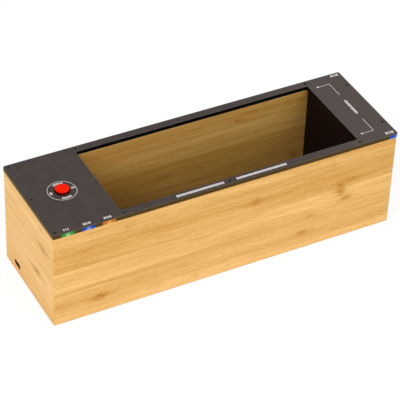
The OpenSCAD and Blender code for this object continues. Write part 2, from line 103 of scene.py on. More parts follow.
class Graph:
    """Adds nodes to one node tree and links them."""

    # The places of a Mix node's colour sockets, whose names its other sockets share.
    mix_below = 6
    mix_above = 7
    mix_result = 2

    def __init__(self, tree: bpy.types.NodeTree) -> None:
        """Keeps the tree that the nodes go into."""
        self.tree = tree

    def add(self, kind: str, **settings: object) -> bpy.types.Node:
        """Adds a node.

        Args:
            kind: The node's type name.
            settings: Properties to set on the node.

        Returns:
            The new node.
        """
        node = self.tree.nodes.new(kind)
        for name, value in settings.items():
            setattr(node, name, value)
        return node

    def feed(self, socket: Socket, value: Value) -> None:
        """Links a socket to another, or gives it a plain value.

        Args:
            socket: The input socket.
            value: Another node's output, a plain value, or None to leave the socket alone.
        """
        if isinstance(value, bpy.types.NodeSocket):
            self.tree.links.new(value, socket)
        elif value is not None:
            socket.default_value = value

    def fill(self, node: bpy.types.Node, values: dict[str, Value]) -> None:
        """Feeds a node's inputs by their names."""
        for name, value in values.items():
            self.feed(node.inputs[name], value)

    def line_up(self, node: bpy.types.Node, values: Sequence[Value]) -> None:
        """Feeds a node's inputs in their order."""
        for socket, value in zip(node.inputs, values):
            self.feed(socket, value)

    def math(self, operation: str, *values: Value) -> Socket:
        """Adds a Math node.

        Args:
            operation: The node's operation.
            values: What goes into its inputs, in their order.

        Returns:
            The result.
        """
        node = self.add("ShaderNodeMath", operation=operation)
        self.line_up(node, values)
        return node.outputs[0]

    def vector(self, operation: str, *values: Value) -> Socket:
        """Adds a Vector Math node.

        Args:
            operation: The node's operation.
            values: What goes into its inputs, in their order.

        Returns:
            A number for a dot product, a length or a distance, and a vector otherwise.
        """
        node = self.add("ShaderNodeVectorMath", operation=operation)
        self.line_up(node, values)
        scalar = operation in ("DOT_PRODUCT", "LENGTH", "DISTANCE")
        return node.outputs["Value" if scalar else "Vector"]

    def blend(self, amount: Value, below: Value, above: Value, mode: str = "MIX") -> Socket:
        """Lays a colour over another.

        Args:
            amount: How much of the upper colour shows, from 0 to 1.
            below: The lower colour.
            above: The upper colour.
            mode: The blend mode.

        Returns:
            The blended colour.
        """
        node = self.add("ShaderNodeMix", data_type="RGBA", blend_type=mode)
        self.feed(node.inputs["Factor"], amount)
        self.feed(node.inputs[self.mix_below], below)
        self.feed(node.inputs[self.mix_above], above)
        return node.outputs[self.mix_result]

    def ramp(self, value: Value, low: Value, high: Value, start: Value = 0.0, end: Value = 1.0) -> Socket:
        """Eases from one number to another while a value goes over a range.

        Args:
            value: The value that is read.
            low: Where its range starts, which may lie above the range's end.
            high: Where its range ends.
            start: The result at the range's start.
            end: The result at the range's end.

        Returns:
            The eased number.
        """
        node = self.add("ShaderNodeMapRange", interpolation_type="SMOOTHSTEP")
        self.line_up(node, (value, low, high, start, end))
        return node.outputs[0]

    def spread(self, value: Value, middle: float, width: float) -> Socket:
        """A number that a value from 0 to 1 moves over a width round a middle."""
        return self.math("MULTIPLY_ADD", value, width, middle - width / 2)

    def noise(self, vector: Value, scale: Value, detail: float = 2.0, swirl: float = 0.0) -> Socket:
        """Adds fractal noise.

        Args:
            vector: The place that it is read at.
            scale: How fine it is, in features to a unit of that place.
            detail: How many finer layers it has.
            swirl: How far it is distorted.

        Returns:
            The noise, from 0 to 1.
        """
        node = self.add("ShaderNodeTexNoise")
        self.fill(node, {"Vector": vector, "Scale": scale, "Detail": detail, "Distortion": swirl})
        return node.outputs["Fac"]

    def pick(self, place: Value, levels: Sequence[float]) -> Socket:
        """Picks a level by a place.

        Args:
            place: A place from 0 to 1.
            levels: One level for each equal step of it.

        Returns:
            The level of the step that the place falls in.
        """
        node = self.add("ShaderNodeValToRGB")
        steps = node.color_ramp
        steps.interpolation = "CONSTANT"
        while len(steps.elements) < len(levels):
            steps.elements.new(1.0)
        for i, (step, level) in enumerate(zip(steps.elements, levels)):
            step.position = i / len(levels)
            step.color = (level, level, level, 1.0)
        self.feed(node.inputs[0], place)
        return node.outputs["Color"]

    def split(self, vector: Value) -> tuple[Socket, Socket, Socket]:
        """Splits a vector.

        Args:
            vector: The vector.

        Returns:
            Its three numbers.
        """
        node = self.add("ShaderNodeSeparateXYZ")
        self.feed(node.inputs[0], vector)
        return node.outputs[0], node.outputs[1], node.outputs[2]

    def join(self, x: Value, y: Value, z: Value) -> Socket:
        """Joins three numbers.

        Args:
            x: The first number.
            y: The second number.
            z: The third number.

        Returns:
            Their vector.
        """
        node = self.add("ShaderNodeCombineXYZ")
        self.line_up(node, (x, y, z))
        return node.outputs[0]

    def bump(self, height: Value, depth: float, normal: Value = None) -> Socket:
        """Roughens a normal.

        Args:
            height: The height map.
            depth: The depth that its steps from 0 to 1 stand for.
            normal: The normal that it is laid on, or None for the piece's own.

        Returns:
            The roughened normal.
        """
        node = self.add("ShaderNodeBump")
        self.fill(node, {"Distance": depth, "Height": height, "Normal": normal})
        return node.outputs[0]

    def looked_at(self) -> Socket:
        """Tells looks from lighting.

        Returns:
            1 for a ray from the camera, a reflection or clear plastic, and 0 for one that lights.
        """
        paths = self.add("ShaderNodeLightPath")
        seen: Value = 0.0
        for ray in ("Is Camera Ray", "Is Glossy Ray", "Is Transmission Ray"):
            seen = self.math("MAXIMUM", seen, paths.outputs[ray])
        return seen

    def use(self, effect: "type[Effect]", **values: Value) -> dict[str, Socket]:
        """Places a shared effect.

        Args:
            effect: The effect's class.
            values: What goes into the sockets of those names.

        Returns:
            Its outputs by the names that the effect gives them.
        """
        node = self.add("ShaderNodeGroup", node_tree=effect.tree())
        self.fill(node, values)
        return {name: node.outputs[name] for name in effect.gives}


class Kind(Enum):
    """The types of a node group's sockets."""

    NUMBER = "NodeSocketFloat"
    VECTOR = "NodeSocketVector"
    COLOUR = "NodeSocketColor"


class Effect(ABC):
    """A surface effect that several finishes share, as a node group that is built once."""

    label = ""
    takes: dict[str, Kind] = {}
    gives: dict[str, Kind] = {}

    @classmethod
    def tree(cls) -> bpy.types.NodeTree:
        """Builds the effect's node group at its first use.

        Returns:
            The node group.
        """
        found = bpy.data.node_groups.get(cls.label)
        if found is not None:
            return found
        tree = bpy.data.node_groups.new(cls.label, "ShaderNodeTree")
        for name, kind in cls.takes.items():
            tree.interface.new_socket(name=name, in_out="INPUT", socket_type=kind.value)
        for name, kind in cls.gives.items():
            tree.interface.new_socket(name=name, in_out="OUTPUT", socket_type=kind.value)
        graph = Graph(tree)
        source = graph.add("NodeGroupInput")
        target = graph.add("NodeGroupOutput")
        results = cls.wire(graph, {name: source.outputs[name] for name in cls.takes})
        graph.fill(target, {name: results[name] for name in cls.gives})
        return tree

    @classmethod
    @abstractmethod
    def wire(cls, graph: Graph, given: dict[str, Socket]) -> dict[str, Socket]:
        """Builds the nodes.

        Args:
            graph: The group's own tree.
            given: The group's input sockets by name.

        Returns:
            What feeds each output, by name.
        """


class SoftArris(Effect):
    """Rounds sharp edges in the shading, and masks them for wear, which some finishes also use for a painted
    highlight.
    """

    label = "soft_arris"
    takes = {"Vector": Kind.VECTOR, "Radius": Kind.NUMBER, "Breakup": Kind.NUMBER}
    gives = {"Mask": Kind.NUMBER, "Normal": Kind.VECTOR}
    samples = 6
    turned_range = (0.995, 0.90)
    patch_scale = 420.0
    patch_range = (0.36, 0.62)

    @classmethod
    def wire(cls, graph: Graph, given: dict[str, Socket]) -> dict[str, Socket]:
        """Compares the rounded normal with the true one; noise breaks the mask up.

        Args:
            graph: The group's own tree.
            given: The place, the rounding's radius and how much of the mask the noise takes.

        Returns:
            The mask and the rounded normal.
        """
        bevel = graph.add("ShaderNodeBevel", samples=cls.samples)
        graph.feed(bevel.inputs["Radius"], given["Radius"])
        flat = graph.add("ShaderNodeNewGeometry").outputs["Normal"]
        facing = graph.vector("DOT_PRODUCT", bevel.outputs[0], flat)
        edge = graph.ramp(facing, *cls.turned_range)
        patches = graph.ramp(graph.noise(given["Vector"], cls.patch_scale, detail=3.0), *cls.patch_range)
        lost = graph.math("MULTIPLY", graph.math("SUBTRACT", 1.0, patches), given["Breakup"])
        mask = graph.math("MULTIPLY", edge, graph.math("SUBTRACT", 1.0, lost))
        return {"Mask": mask, "Normal": bevel.outputs[0]}


class FineGrain(Effect):
    """Two sizes of fine mottling, as moulded, painted and printed faces have."""

    label = "fine_grain"
    takes = {"Vector": Kind.VECTOR, "Scale": Kind.NUMBER}
    gives = {"Mottle": Kind.NUMBER, "Speck": Kind.NUMBER, "Height": Kind.NUMBER}
    broad_scale = 0.06
    broad_range = (0.3, 0.7)
    speck_range = (0.56, 0.7)
    speck_height = 0.5
    pebble_scale = 0.8

    @classmethod
    def wire(cls, graph: Graph, given: dict[str, Socket]) -> dict[str, Socket]:
        """Scales the vector, then reads broad noise, fine noise and a pebbled height.

        Args:
            graph: The group's own tree.
            given: The place, and how fine the grain is.

        Returns:
            The broad mottle, the fine specks and the height.
        """
        scale = graph.join(given["Scale"], given["Scale"], given["Scale"])
        vector = graph.vector("MULTIPLY", given["Vector"], scale)
        broad = graph.ramp(graph.noise(vector, cls.broad_scale, detail=3.0), *cls.broad_range)
        fine = graph.noise(vector, 1.0)
        pebble = graph.add("ShaderNodeTexVoronoi", feature="SMOOTH_F1")
        graph.fill(pebble, {"Vector": vector, "Scale": cls.pebble_scale})
        specks = graph.math("MULTIPLY", fine, cls.speck_height)
        height = graph.math("ADD", specks, pebble.outputs["Distance"])
        return {"Mottle": broad, "Speck": graph.ramp(fine, *cls.speck_range), "Height": height}


class HairScratches(Effect):
    """Sparse hairline scratches in two crossing directions."""

    label = "hair_scratches"
    takes = {"Vector": Kind.VECTOR}
    gives = {"Mask": Kind.NUMBER}
    directions = (0.5, 2.2)
    thread_size = (30.0 * MM, 0.6 * MM, 30.0 * MM)
    thread_range = (0.70, 0.76)
    patch_scale = 60.0
    patch_range = (0.45, 0.65)

    @classmethod
    def wire(cls, graph: Graph, given: dict[str, Socket]) -> dict[str, Socket]:
        """Stretches noise into threads along each direction and keeps the peaks.

        Args:
            graph: The group's own tree.
            given: The place.

        Returns:
            The mask.
        """
        mask: Value = 0.0
        patches = graph.ramp(graph.noise(given["Vector"], cls.patch_scale, detail=1.0), *cls.patch_range)
        for turn in cls.directions:
            mapping = graph.add("ShaderNodeMapping", vector_type="TEXTURE")
            turned = {"Vector": given["Vector"], "Rotation": (0.0, 0.0, turn), "Scale": cls.thread_size}
            graph.fill(mapping, turned)
            threads = graph.ramp(graph.noise(mapping.outputs[0], 1.0, detail=1.0), *cls.thread_range)
            mask = graph.math("MAXIMUM", mask, threads)
        return {"Mask": graph.math("MULTIPLY", mask, patches)}


@dataclass(frozen=True)
class Threads:
    """Noise drawn out along the grain: its threads' size, detail, range, and how strongly they show."""

    length: float
    height: float
    detail: float
    reading: Range
    share: float
    depth_ratio: float = 3.0

    def read(self, graph: Graph, along: Value, across: Value, depth: Value) -> Socket:
        """Reads the threads at a place.

        Args:
            graph: The tree that the nodes go into.
            along: The place along the grain.
            across: The place across the grain.
            depth: The place into the board.

        Returns:
            The noise, eased over its range.
        """
        vector = graph.join(
            graph.math("DIVIDE", along, self.length),
            graph.math("DIVIDE", across, self.height),
            graph.math("DIVIDE", depth, self.height * self.depth_ratio),
        )
        return graph.ramp(graph.noise(vector, 1.0, self.detail), *self.reading)


class BambooStrips(Effect):
    """Bamboo strips pressed side by side: streaks, fibres and glue lines on a tone for each strip."""

    label = "bamboo_strips"
    takes = {
        "Vector": Kind.VECTOR,
        "Place": Kind.NUMBER,
        "Tone": Kind.NUMBER,
        "Pale": Kind.COLOUR,
        "Deep": Kind.COLOUR,
        "Fibre": Kind.COLOUR,
    }
    gives = {"Color": Kind.COLOUR, "Streak": Kind.NUMBER, "Height": Kind.NUMBER}
    broad = Threads(150.0 * MM, 5.8 * MM, 2.0, (0.30, 0.70, -0.25, 0.75), 0.46)
    streak = Threads(48.0 * MM, 1.8 * MM, 3.0, (0.30, 0.72), 0.24)
    mottle = Threads(2.2 * MM, 1.2 * MM, 2.0, (0.30, 0.70, -0.5, 0.5), 0.22)
    fibre = Threads(20.0 * MM, 0.6 * MM, 2.0, (0.46, 0.74), 0.40)
    streak_height = 0.25
    fibre_height = -0.5
    # Each strip's pattern is read this much further along than the last one's.
    strip_shift = 0.37
    wander_scale = (16.0, 60.0)
    wander_reach = 4.0 * MM
    seam_range = (0.486, 0.499)
    seam_share = 0.30
    seam_height = -0.8

    @classmethod
    def wire(cls, graph: Graph, given: dict[str, Socket]) -> dict[str, Socket]:
        """Reads the vector as along the grain, across the strips, and into the board.

        Args:
            graph: The group's own tree.
            given: The place, the place in strips, the strip's tone and the three colours.

        Returns:
            The colour, the streaks and the height.
        """
        along, across, depth = graph.split(given["Vector"])
        strip = graph.math("FLOOR", given["Place"])
        along = graph.math("MULTIPLY_ADD", strip, cls.strip_shift, along)
        slow = [graph.math("MULTIPLY", *pair) for pair in zip((along, across), cls.wander_scale)]
        waves = graph.noise(graph.join(*slow, depth), 1.0)
        place = (along, graph.math("MULTIPLY_ADD", waves, cls.wander_reach, across), depth)
        kinds = (cls.broad, cls.streak, cls.mottle, cls.fibre)
        broad, streak, mottle, fibre = (threads.read(graph, *place) for threads in kinds)
        tone = graph.math("MULTIPLY_ADD", broad, cls.broad.share, given["Tone"])
        tone = graph.math("MULTIPLY_ADD", streak, cls.streak.share, tone)
        tone = graph.math("MULTIPLY_ADD", mottle, cls.mottle.share, tone)
        face = graph.blend(tone, given["Pale"], given["Deep"])
        face = graph.blend(graph.math("MULTIPLY", fibre, cls.fibre.share), face, given["Fibre"])
        off_middle = graph.math("SUBTRACT", graph.math("FRACT", given["Place"]), 0.5)
        seam = graph.ramp(graph.math("ABSOLUTE", off_middle), *cls.seam_range)
        face = graph.blend(graph.math("MULTIPLY", seam, cls.seam_share), face, given["Fibre"])
        height: Value = 0.0
        for part, rise in ((fibre, cls.fibre_height), (seam, cls.seam_height), (streak, cls.streak_height)):
            height = graph.math("MULTIPLY_ADD", part, rise, height)
        return {"Color": face, "Streak": streak, "Height": height}


class GrowthMark(Effect):
    """The brown mark that one growth ring of the cane leaves on a strip."""

    label = "growth_mark"
    takes = {
        "Vector": Kind.VECTOR,
        "Along": Kind.NUMBER,
        "Across": Kind.NUMBER,
        "Length": Kind.NUMBER,
        "Height": Kind.NUMBER,
        "Lean": Kind.NUMBER,
    }
    gives = {"Stain": Kind.NUMBER, "Core": Kind.NUMBER}
    strand_scale = (70.0, 900.0, 300.0)
    strand_range = (0.32, 0.66, 0.25, 1.0)
    # How far the strands push the core's outline along the grain, in half lengths.
    fray = 2.4
    fleck_scale = (200.0, 640.0, 300.0)
    fleck_range = (0.36, 0.58, 0.25, 1.0)
    core_range = (1.12, 0.45)
    halo_shrink = (0.34, 0.75)
    halo_range = (1.0, 0.1)

    @classmethod
    def wire(cls, graph: Graph, given: dict[str, Socket]) -> dict[str, Socket]:
        """Frays an oval along the grain, inside a wide soft stain with streaks running out of it.

        Args:
            graph: The group's own tree.
            given: The place, the mark's middle, its half sizes and how far it leans.

        Returns:
            The wide stain and the core.
        """
        vector = given["Vector"]
        along, across, _ = graph.split(vector)
        strands = graph.noise(graph.vector("MULTIPLY", vector, cls.strand_scale), 1.0, detail=3.0)
        flecks = graph.noise(graph.vector("MULTIPLY", vector, cls.fleck_scale), 1.0)
        up = graph.math("DIVIDE", graph.math("SUBTRACT", across, given["Across"]), given["Height"])
        leaning = graph.math("MULTIPLY_ADD", up, given["Lean"], given["Along"])
        over = graph.math("DIVIDE", graph.math("SUBTRACT", along, leaning), given["Length"])
        frayed = graph.math("ADD", over, graph.spread(strands, 0.0, cls.fray))
        reach = graph.vector("LENGTH", graph.join(frayed, up, 0.0))
        flecked = graph.ramp(flecks, *cls.fleck_range)
        core = graph.math("MULTIPLY", graph.ramp(reach, *cls.core_range), flecked)
        shrunk = [graph.math("MULTIPLY", *pair) for pair in zip((over, up), cls.halo_shrink)]
        halo = graph.ramp(graph.vector("LENGTH", graph.join(*shrunk, 0.0)), *cls.halo_range)
        stain = graph.math("MULTIPLY", halo, graph.ramp(strands, *cls.strand_range))
        return {"Stain": stain, "Core": core}


class WindowGlow(Effect):
    """How one small light shows through a clear window: a wide glow round a bright heart."""

    label = "window_glow"
    takes = {"Vector": Kind.VECTOR, "Light": Kind.VECTOR, "Foot": Kind.NUMBER}
    gives = {"Wide": Kind.NUMBER, "Heart": Kind.NUMBER}
    reach = 5.0 * MM
    up_range = (2.8 * MM, 0.6 * MM, 0.35, 1.0)
    wide_middle = 0.75
    wide_width = 0.5
    heart_power = 5.0
    heart_share = 0.85

    @classmethod
    def wire(cls, graph: Graph, given: dict[str, Socket]) -> dict[str, Socket]:
        """Fades the light with the distance from it, in plan and up the window.

        Args:
            graph: The group's own tree.
            given: The place, the light's place in plan, and the height of the window's foot.

        Returns:
            The wide glow and the heart.
        """
        x, y, z = graph.split(given["Vector"])
        away = graph.vector("DISTANCE", graph.join(x, y, 0.0), given["Light"])
        near = graph.ramp(away, cls.reach, 0.0)
        low = graph.ramp(graph.math("SUBTRACT", z, given["Foot"]), *cls.up_range)
        wide = graph.math("MULTIPLY", graph.spread(near, cls.wide_middle, cls.wide_width), low)
        heart = graph.math("MULTIPLY", graph.math("POWER", near, cls.heart_power), low)
        return {"Wide": wide, "Heart": graph.math("MULTIPLY", heart, cls.heart_share)}


class DrawnLines(Effect):
    """The fine lines or pebbles that drawing, brushing or painting leaves on metal."""

    label = "drawn_lines"
    takes = {"Vector": Kind.VECTOR, "Lines": Kind.VECTOR}
    gives = {"Tone": Kind.NUMBER, "Height": Kind.NUMBER}
    tone_range = (0.3, 0.7)

    @classmethod
    def wire(cls, graph: Graph, given: dict[str, Socket]) -> dict[str, Socket]:
        """Squeezes noise into lines.

        Args:
            graph: The group's own tree.
            given: The place, and how many lines there are to the metre in each direction.

        Returns:
            The lines' tone and height.
        """
        vector = graph.vector("MULTIPLY", given["Vector"], given["Lines"])
        drawn = graph.noise(vector, 1.0, detail=3.0)
        return {"Tone": graph.ramp(drawn, *cls.tone_range), "Height": drawn}


class MattedFibres(Effect):
    """Fibres or foam cells matted together in clumps, with lint on top."""

    label = "matted_fibres"
    takes = {"Vector": Kind.VECTOR, "Scale": Kind.NUMBER}
    gives = {"Clump": Kind.NUMBER, "Lint": Kind.NUMBER, "Height": Kind.NUMBER}
    swirl = 2.5
    lint_range = (0.58, 0.72, 0.0, 0.6)
    clump_scale = 0.08
    clump_range = (0.3, 0.7)

    @classmethod
    def wire(cls, graph: Graph, given: dict[str, Socket]) -> dict[str, Socket]:
        """Tangles distorted noise into fibres.

        Args:
            graph: The group's own tree.
            given: The place, and how many fibres there are to the metre.

        Returns:
            The clumps, the lint and the height.
        """
        tangle = graph.noise(given["Vector"], given["Scale"], detail=4.0, swirl=cls.swirl)
        coarse = graph.math("MULTIPLY", given["Scale"], cls.clump_scale)
        clumps = graph.ramp(graph.noise(given["Vector"], coarse), *cls.clump_range)
        return {"Clump": clumps, "Lint": graph.ramp(tangle, *cls.lint_range), "Height": tangle}


class BoardTracks(Effect):
    """A circuit board's tracks and its tinned pads, on the board's grid."""

    label = "board_tracks"
    takes = {"Vector": Kind.VECTOR}
    gives = {"Track": Kind.NUMBER, "Pad": Kind.NUMBER, "Height": Kind.NUMBER}
    pitch = 2.54 * MM
    track_width = 0.08 * pitch
    track_length = 5 * pitch
    pad_pitch = 2 * pitch
    pad_range = (0.22, 0.17)
    used_scale = 90.0
    used_range = (0.55, 0.58)

    @classmethod
    def wire(cls, graph: Graph, given: dict[str, Socket]) -> dict[str, Socket]:
        """Lays tracks like the joints between bricks, and pads where noise chooses them.

        Args:
            graph: The group's own tree.
            given: The place.

        Returns:
            The tracks, the pads and the height of both.
        """
        bricks = graph.add("ShaderNodeTexBrick", offset=0.5)
        sizes = {"Scale": 1.0, "Mortar Size": cls.track_width, "Brick Width": cls.track_length}
        graph.fill(bricks, {**sizes, "Row Height": cls.pitch})
        graph.feed(bricks.inputs["Vector"], graph.vector("MULTIPLY", given["Vector"], (1.0, 1.0, 0.0)))
        track = bricks.outputs["Fac"]
        x, y, _ = graph.split(given["Vector"])
        cell = [graph.math("FRACT", graph.math("DIVIDE", axis, cls.pad_pitch)) for axis in (x, y)]
        off_middle = graph.vector("DISTANCE", graph.join(*cell, 0.0), (0.5, 0.5, 0.0))
        used = graph.ramp(graph.noise(given["Vector"], cls.used_scale, detail=0.0), *cls.used_range)
        pad = graph.math("MULTIPLY", graph.ramp(off_middle, *cls.pad_range), used)
        return {"Track": track, "Pad": pad, "Height": graph.math("ADD", track, pad)}


@dataclass(frozen=True)
class Finish(ABC):
    """What a piece is finished in. Its material is built once."""

    label: str

    def material(self) -> bpy.types.Material:
        """Builds the finish's material at its first use.

        Returns:
            The material.
        """
        name = f"{self.label}_finish"
        found = bpy.data.materials.get(name)
        if found is not None:
            return found
        material = bpy.data.materials.new(name)
        material.use_nodes = True
        graph = Graph(material.node_tree)
        shader = material.node_tree.nodes["Principled BSDF"]
        where = graph.add("ShaderNodeTexCoord").outputs["Object"]
        graph.fill(shader, self.paint(graph, where))
        self.complete(graph, shader)
        return material

    @abstractmethod
    def paint(self, graph: Graph, where: Socket) -> dict[str, Value]:
        """Builds the finish.

        Args:
            graph: The material's tree.
            where: The place on the piece, in the row frame's metres.

        Returns:
            What feeds the Principled shader's inputs, by name.
        """

    def complete(self, graph: Graph, shader: bpy.types.Node) -> None:
        """Adds what goes after the shader, which is nothing for most finishes."""


class Grain(Enum):
    """The way that a board's strips run, as the order of the axes along, across and into it."""

    ALONG_X_FACE_Y = (0, 2, 1)
    ALONG_Y_FACE_X = (1, 2, 0)
    ALONG_X_FACE_Z = (0, 1, 2)


@dataclass(frozen=True)
class Oval:
    """The straight middle line of an oval opening: its middle in two axes and half its length."""

    middle: Point
    straight: float

    def distance(self, graph: Graph, along: Value, up: Value) -> Socket:
        """Measures how far a place lies from the middle line.

        Args:
            graph: The tree that the nodes go into.
            along: The place along the line.
            up: The place across the line.

        Returns:
            The distance.
        """
        side = graph.math("ABSOLUTE", graph.math("SUBTRACT", along, self.middle[0]))
        past = graph.math("MAXIMUM", graph.math("SUBTRACT", side, self.straight), 0.0)
        return graph.vector("LENGTH", graph.join(past, graph.math("SUBTRACT", up, self.middle[1]), 0.0))


@dataclass(frozen=True)
class Mark:
    """A growth mark, in millimetres: its place along and across the board, half sizes and lean."""

    along: float
    across: float
    length: float
    height: float
    strength: float
    lean: float = 0.0


@dataclass(frozen=True)
class Bamboo(Finish):
    """Pressed bamboo board under a thin satin lacquer, with a tone for each strip in turn."""

    grain: Grain = Grain.ALONG_X_FACE_Y
    strip: float = 17.3 * MM
    offset: float = 10.8 * MM
    tones: tuple[float, ...] = (0.34, 0.12, 0.48, 0.36, 0.10)
    pale: str = "F5C67B"
    deep: str = "D29B45"
    fibre: str = "BC8228"
    marks: tuple[Mark, ...] = ()
    mark_tone: str = "BE7C06"
    stain_share: float = 0.55
    core_share: float = 0.80
    # painted shade: the inner face, at this depth, is darkened by a tint over a band
    inside: float = 0.0
    inside_band: tuple[float, float] = (0.5 * MM, 0.1 * MM)
    inside_tint: str = "DEDCCB"
    # rubbed wear and a painted highlight on the rounded edges
    rubbed: str = "F8DDAE"
    edge_wear: float = 0.30
    arris_radius: float = 0.7 * MM
    slot: Union[Oval, None] = None
    slot_radius: float = 2.03 * MM
    burn: float = 0.25 * MM
    burnt: str = "704616"
    roughness: float = 0.46
    unevenness: float = 0.10
    relief: float = 0.06 * MM
    specular: float = 0.35

    def paint(self, graph: Graph, where: Socket) -> dict[str, Value]:
        """Lays strips, growth marks, painted shade on the inner face, edges rubbed pale with a painted
        highlight, and a burnt slot.

        Args:
            graph: The material's tree.
            where: The place on the piece.

        Returns:
            What feeds the shader's inputs, by name.
        """
        axes = graph.split(where)
        along, across, depth = (axes[i] for i in self.grain.value)
        vector = graph.join(along, across, depth)
        strips = self.lay_strips(graph, vector, across)
        face = strips["Color"]
        for mark in self.marks:
            face = self.lay_mark(graph, vector, face, mark)
        # painted shade darkens the inner face, as the shade inside the well
        if self.inside:
            edges = (self.inside + away for away in self.inside_band)
            bare = graph.ramp(graph.math("ABSOLUTE", depth), *edges)
            face = graph.blend(bare, face, colour(self.inside_tint), "MULTIPLY")
        # the rounded edges are rubbed pale: wear and a painted highlight
        arris = graph.use(SoftArris, Vector=where, Radius=self.arris_radius, Breakup=0.5)
        worn = graph.math("MULTIPLY", arris["Mask"], self.edge_wear)
        face = graph.blend(worn, face, colour(self.rubbed))
        if self.slot is not None:
            away = self.slot.distance(graph, along, across)
            edge = graph.ramp(away, self.slot_radius + self.burn, self.slot_radius)
            face = graph.blend(edge, face, colour(self.burnt))
        return {
            "Base Color": face,
            "Roughness": graph.spread(strips["Streak"], self.roughness, self.unevenness),
            "Normal": graph.bump(strips["Height"], self.relief, arris["Normal"]),
            "Specular IOR Level": self.specular,
        }

    def lay_strips(self, graph: Graph, vector: Socket, across: Socket) -> dict[str, Socket]:
        """Lays the strips side by side and picks each one's tone.

        Args:
            graph: The material's tree.
            vector: The place along, across and into the board.
            across: The place across the board alone.

        Returns:
            What the strips' effect gives.
        """
        count = len(self.tones)
        place = graph.math("MULTIPLY_ADD", across, 1 / self.strip, -self.offset / self.strip)
        row = graph.math("FLOORED_MODULO", graph.math("FLOOR", place), count)
        step = graph.math("MULTIPLY_ADD", row, 1 / count, 0.5 / count)
        return graph.use(
            BambooStrips,
            Vector=vector,
            Place=place,
            Tone=graph.pick(step, self.tones),
            Pale=colour(self.pale),
            Deep=colour(self.deep),
            Fibre=colour(self.fibre),
        )

    def lay_mark(self, graph: Graph, vector: Socket, face: Socket, mark: Mark) -> Socket:
        """Stains the face with one growth mark.

        Args:
            graph: The material's tree.
            vector: The place along, across and into the board.
            face: The face's colour so far.
            mark: The mark.

        Returns:
            The face's colour with the mark.
        """
        spot = graph.use(
            GrowthMark,
            Vector=vector,
            Along=mark.along * MM,
            Across=mark.across * MM,
            Length=mark.length * MM,
            Height=mark.height * MM,
            Lean=mark.lean * MM,
        )
        stain = graph.math("MULTIPLY", spot["Stain"], mark.strength * self.stain_share)
        core = graph.math("MULTIPLY", spot["Core"], mark.strength * self.core_share)
        face = graph.blend(stain, face, colour(self.fibre))
        return graph.blend(core, face, colour(self.mark_tone))


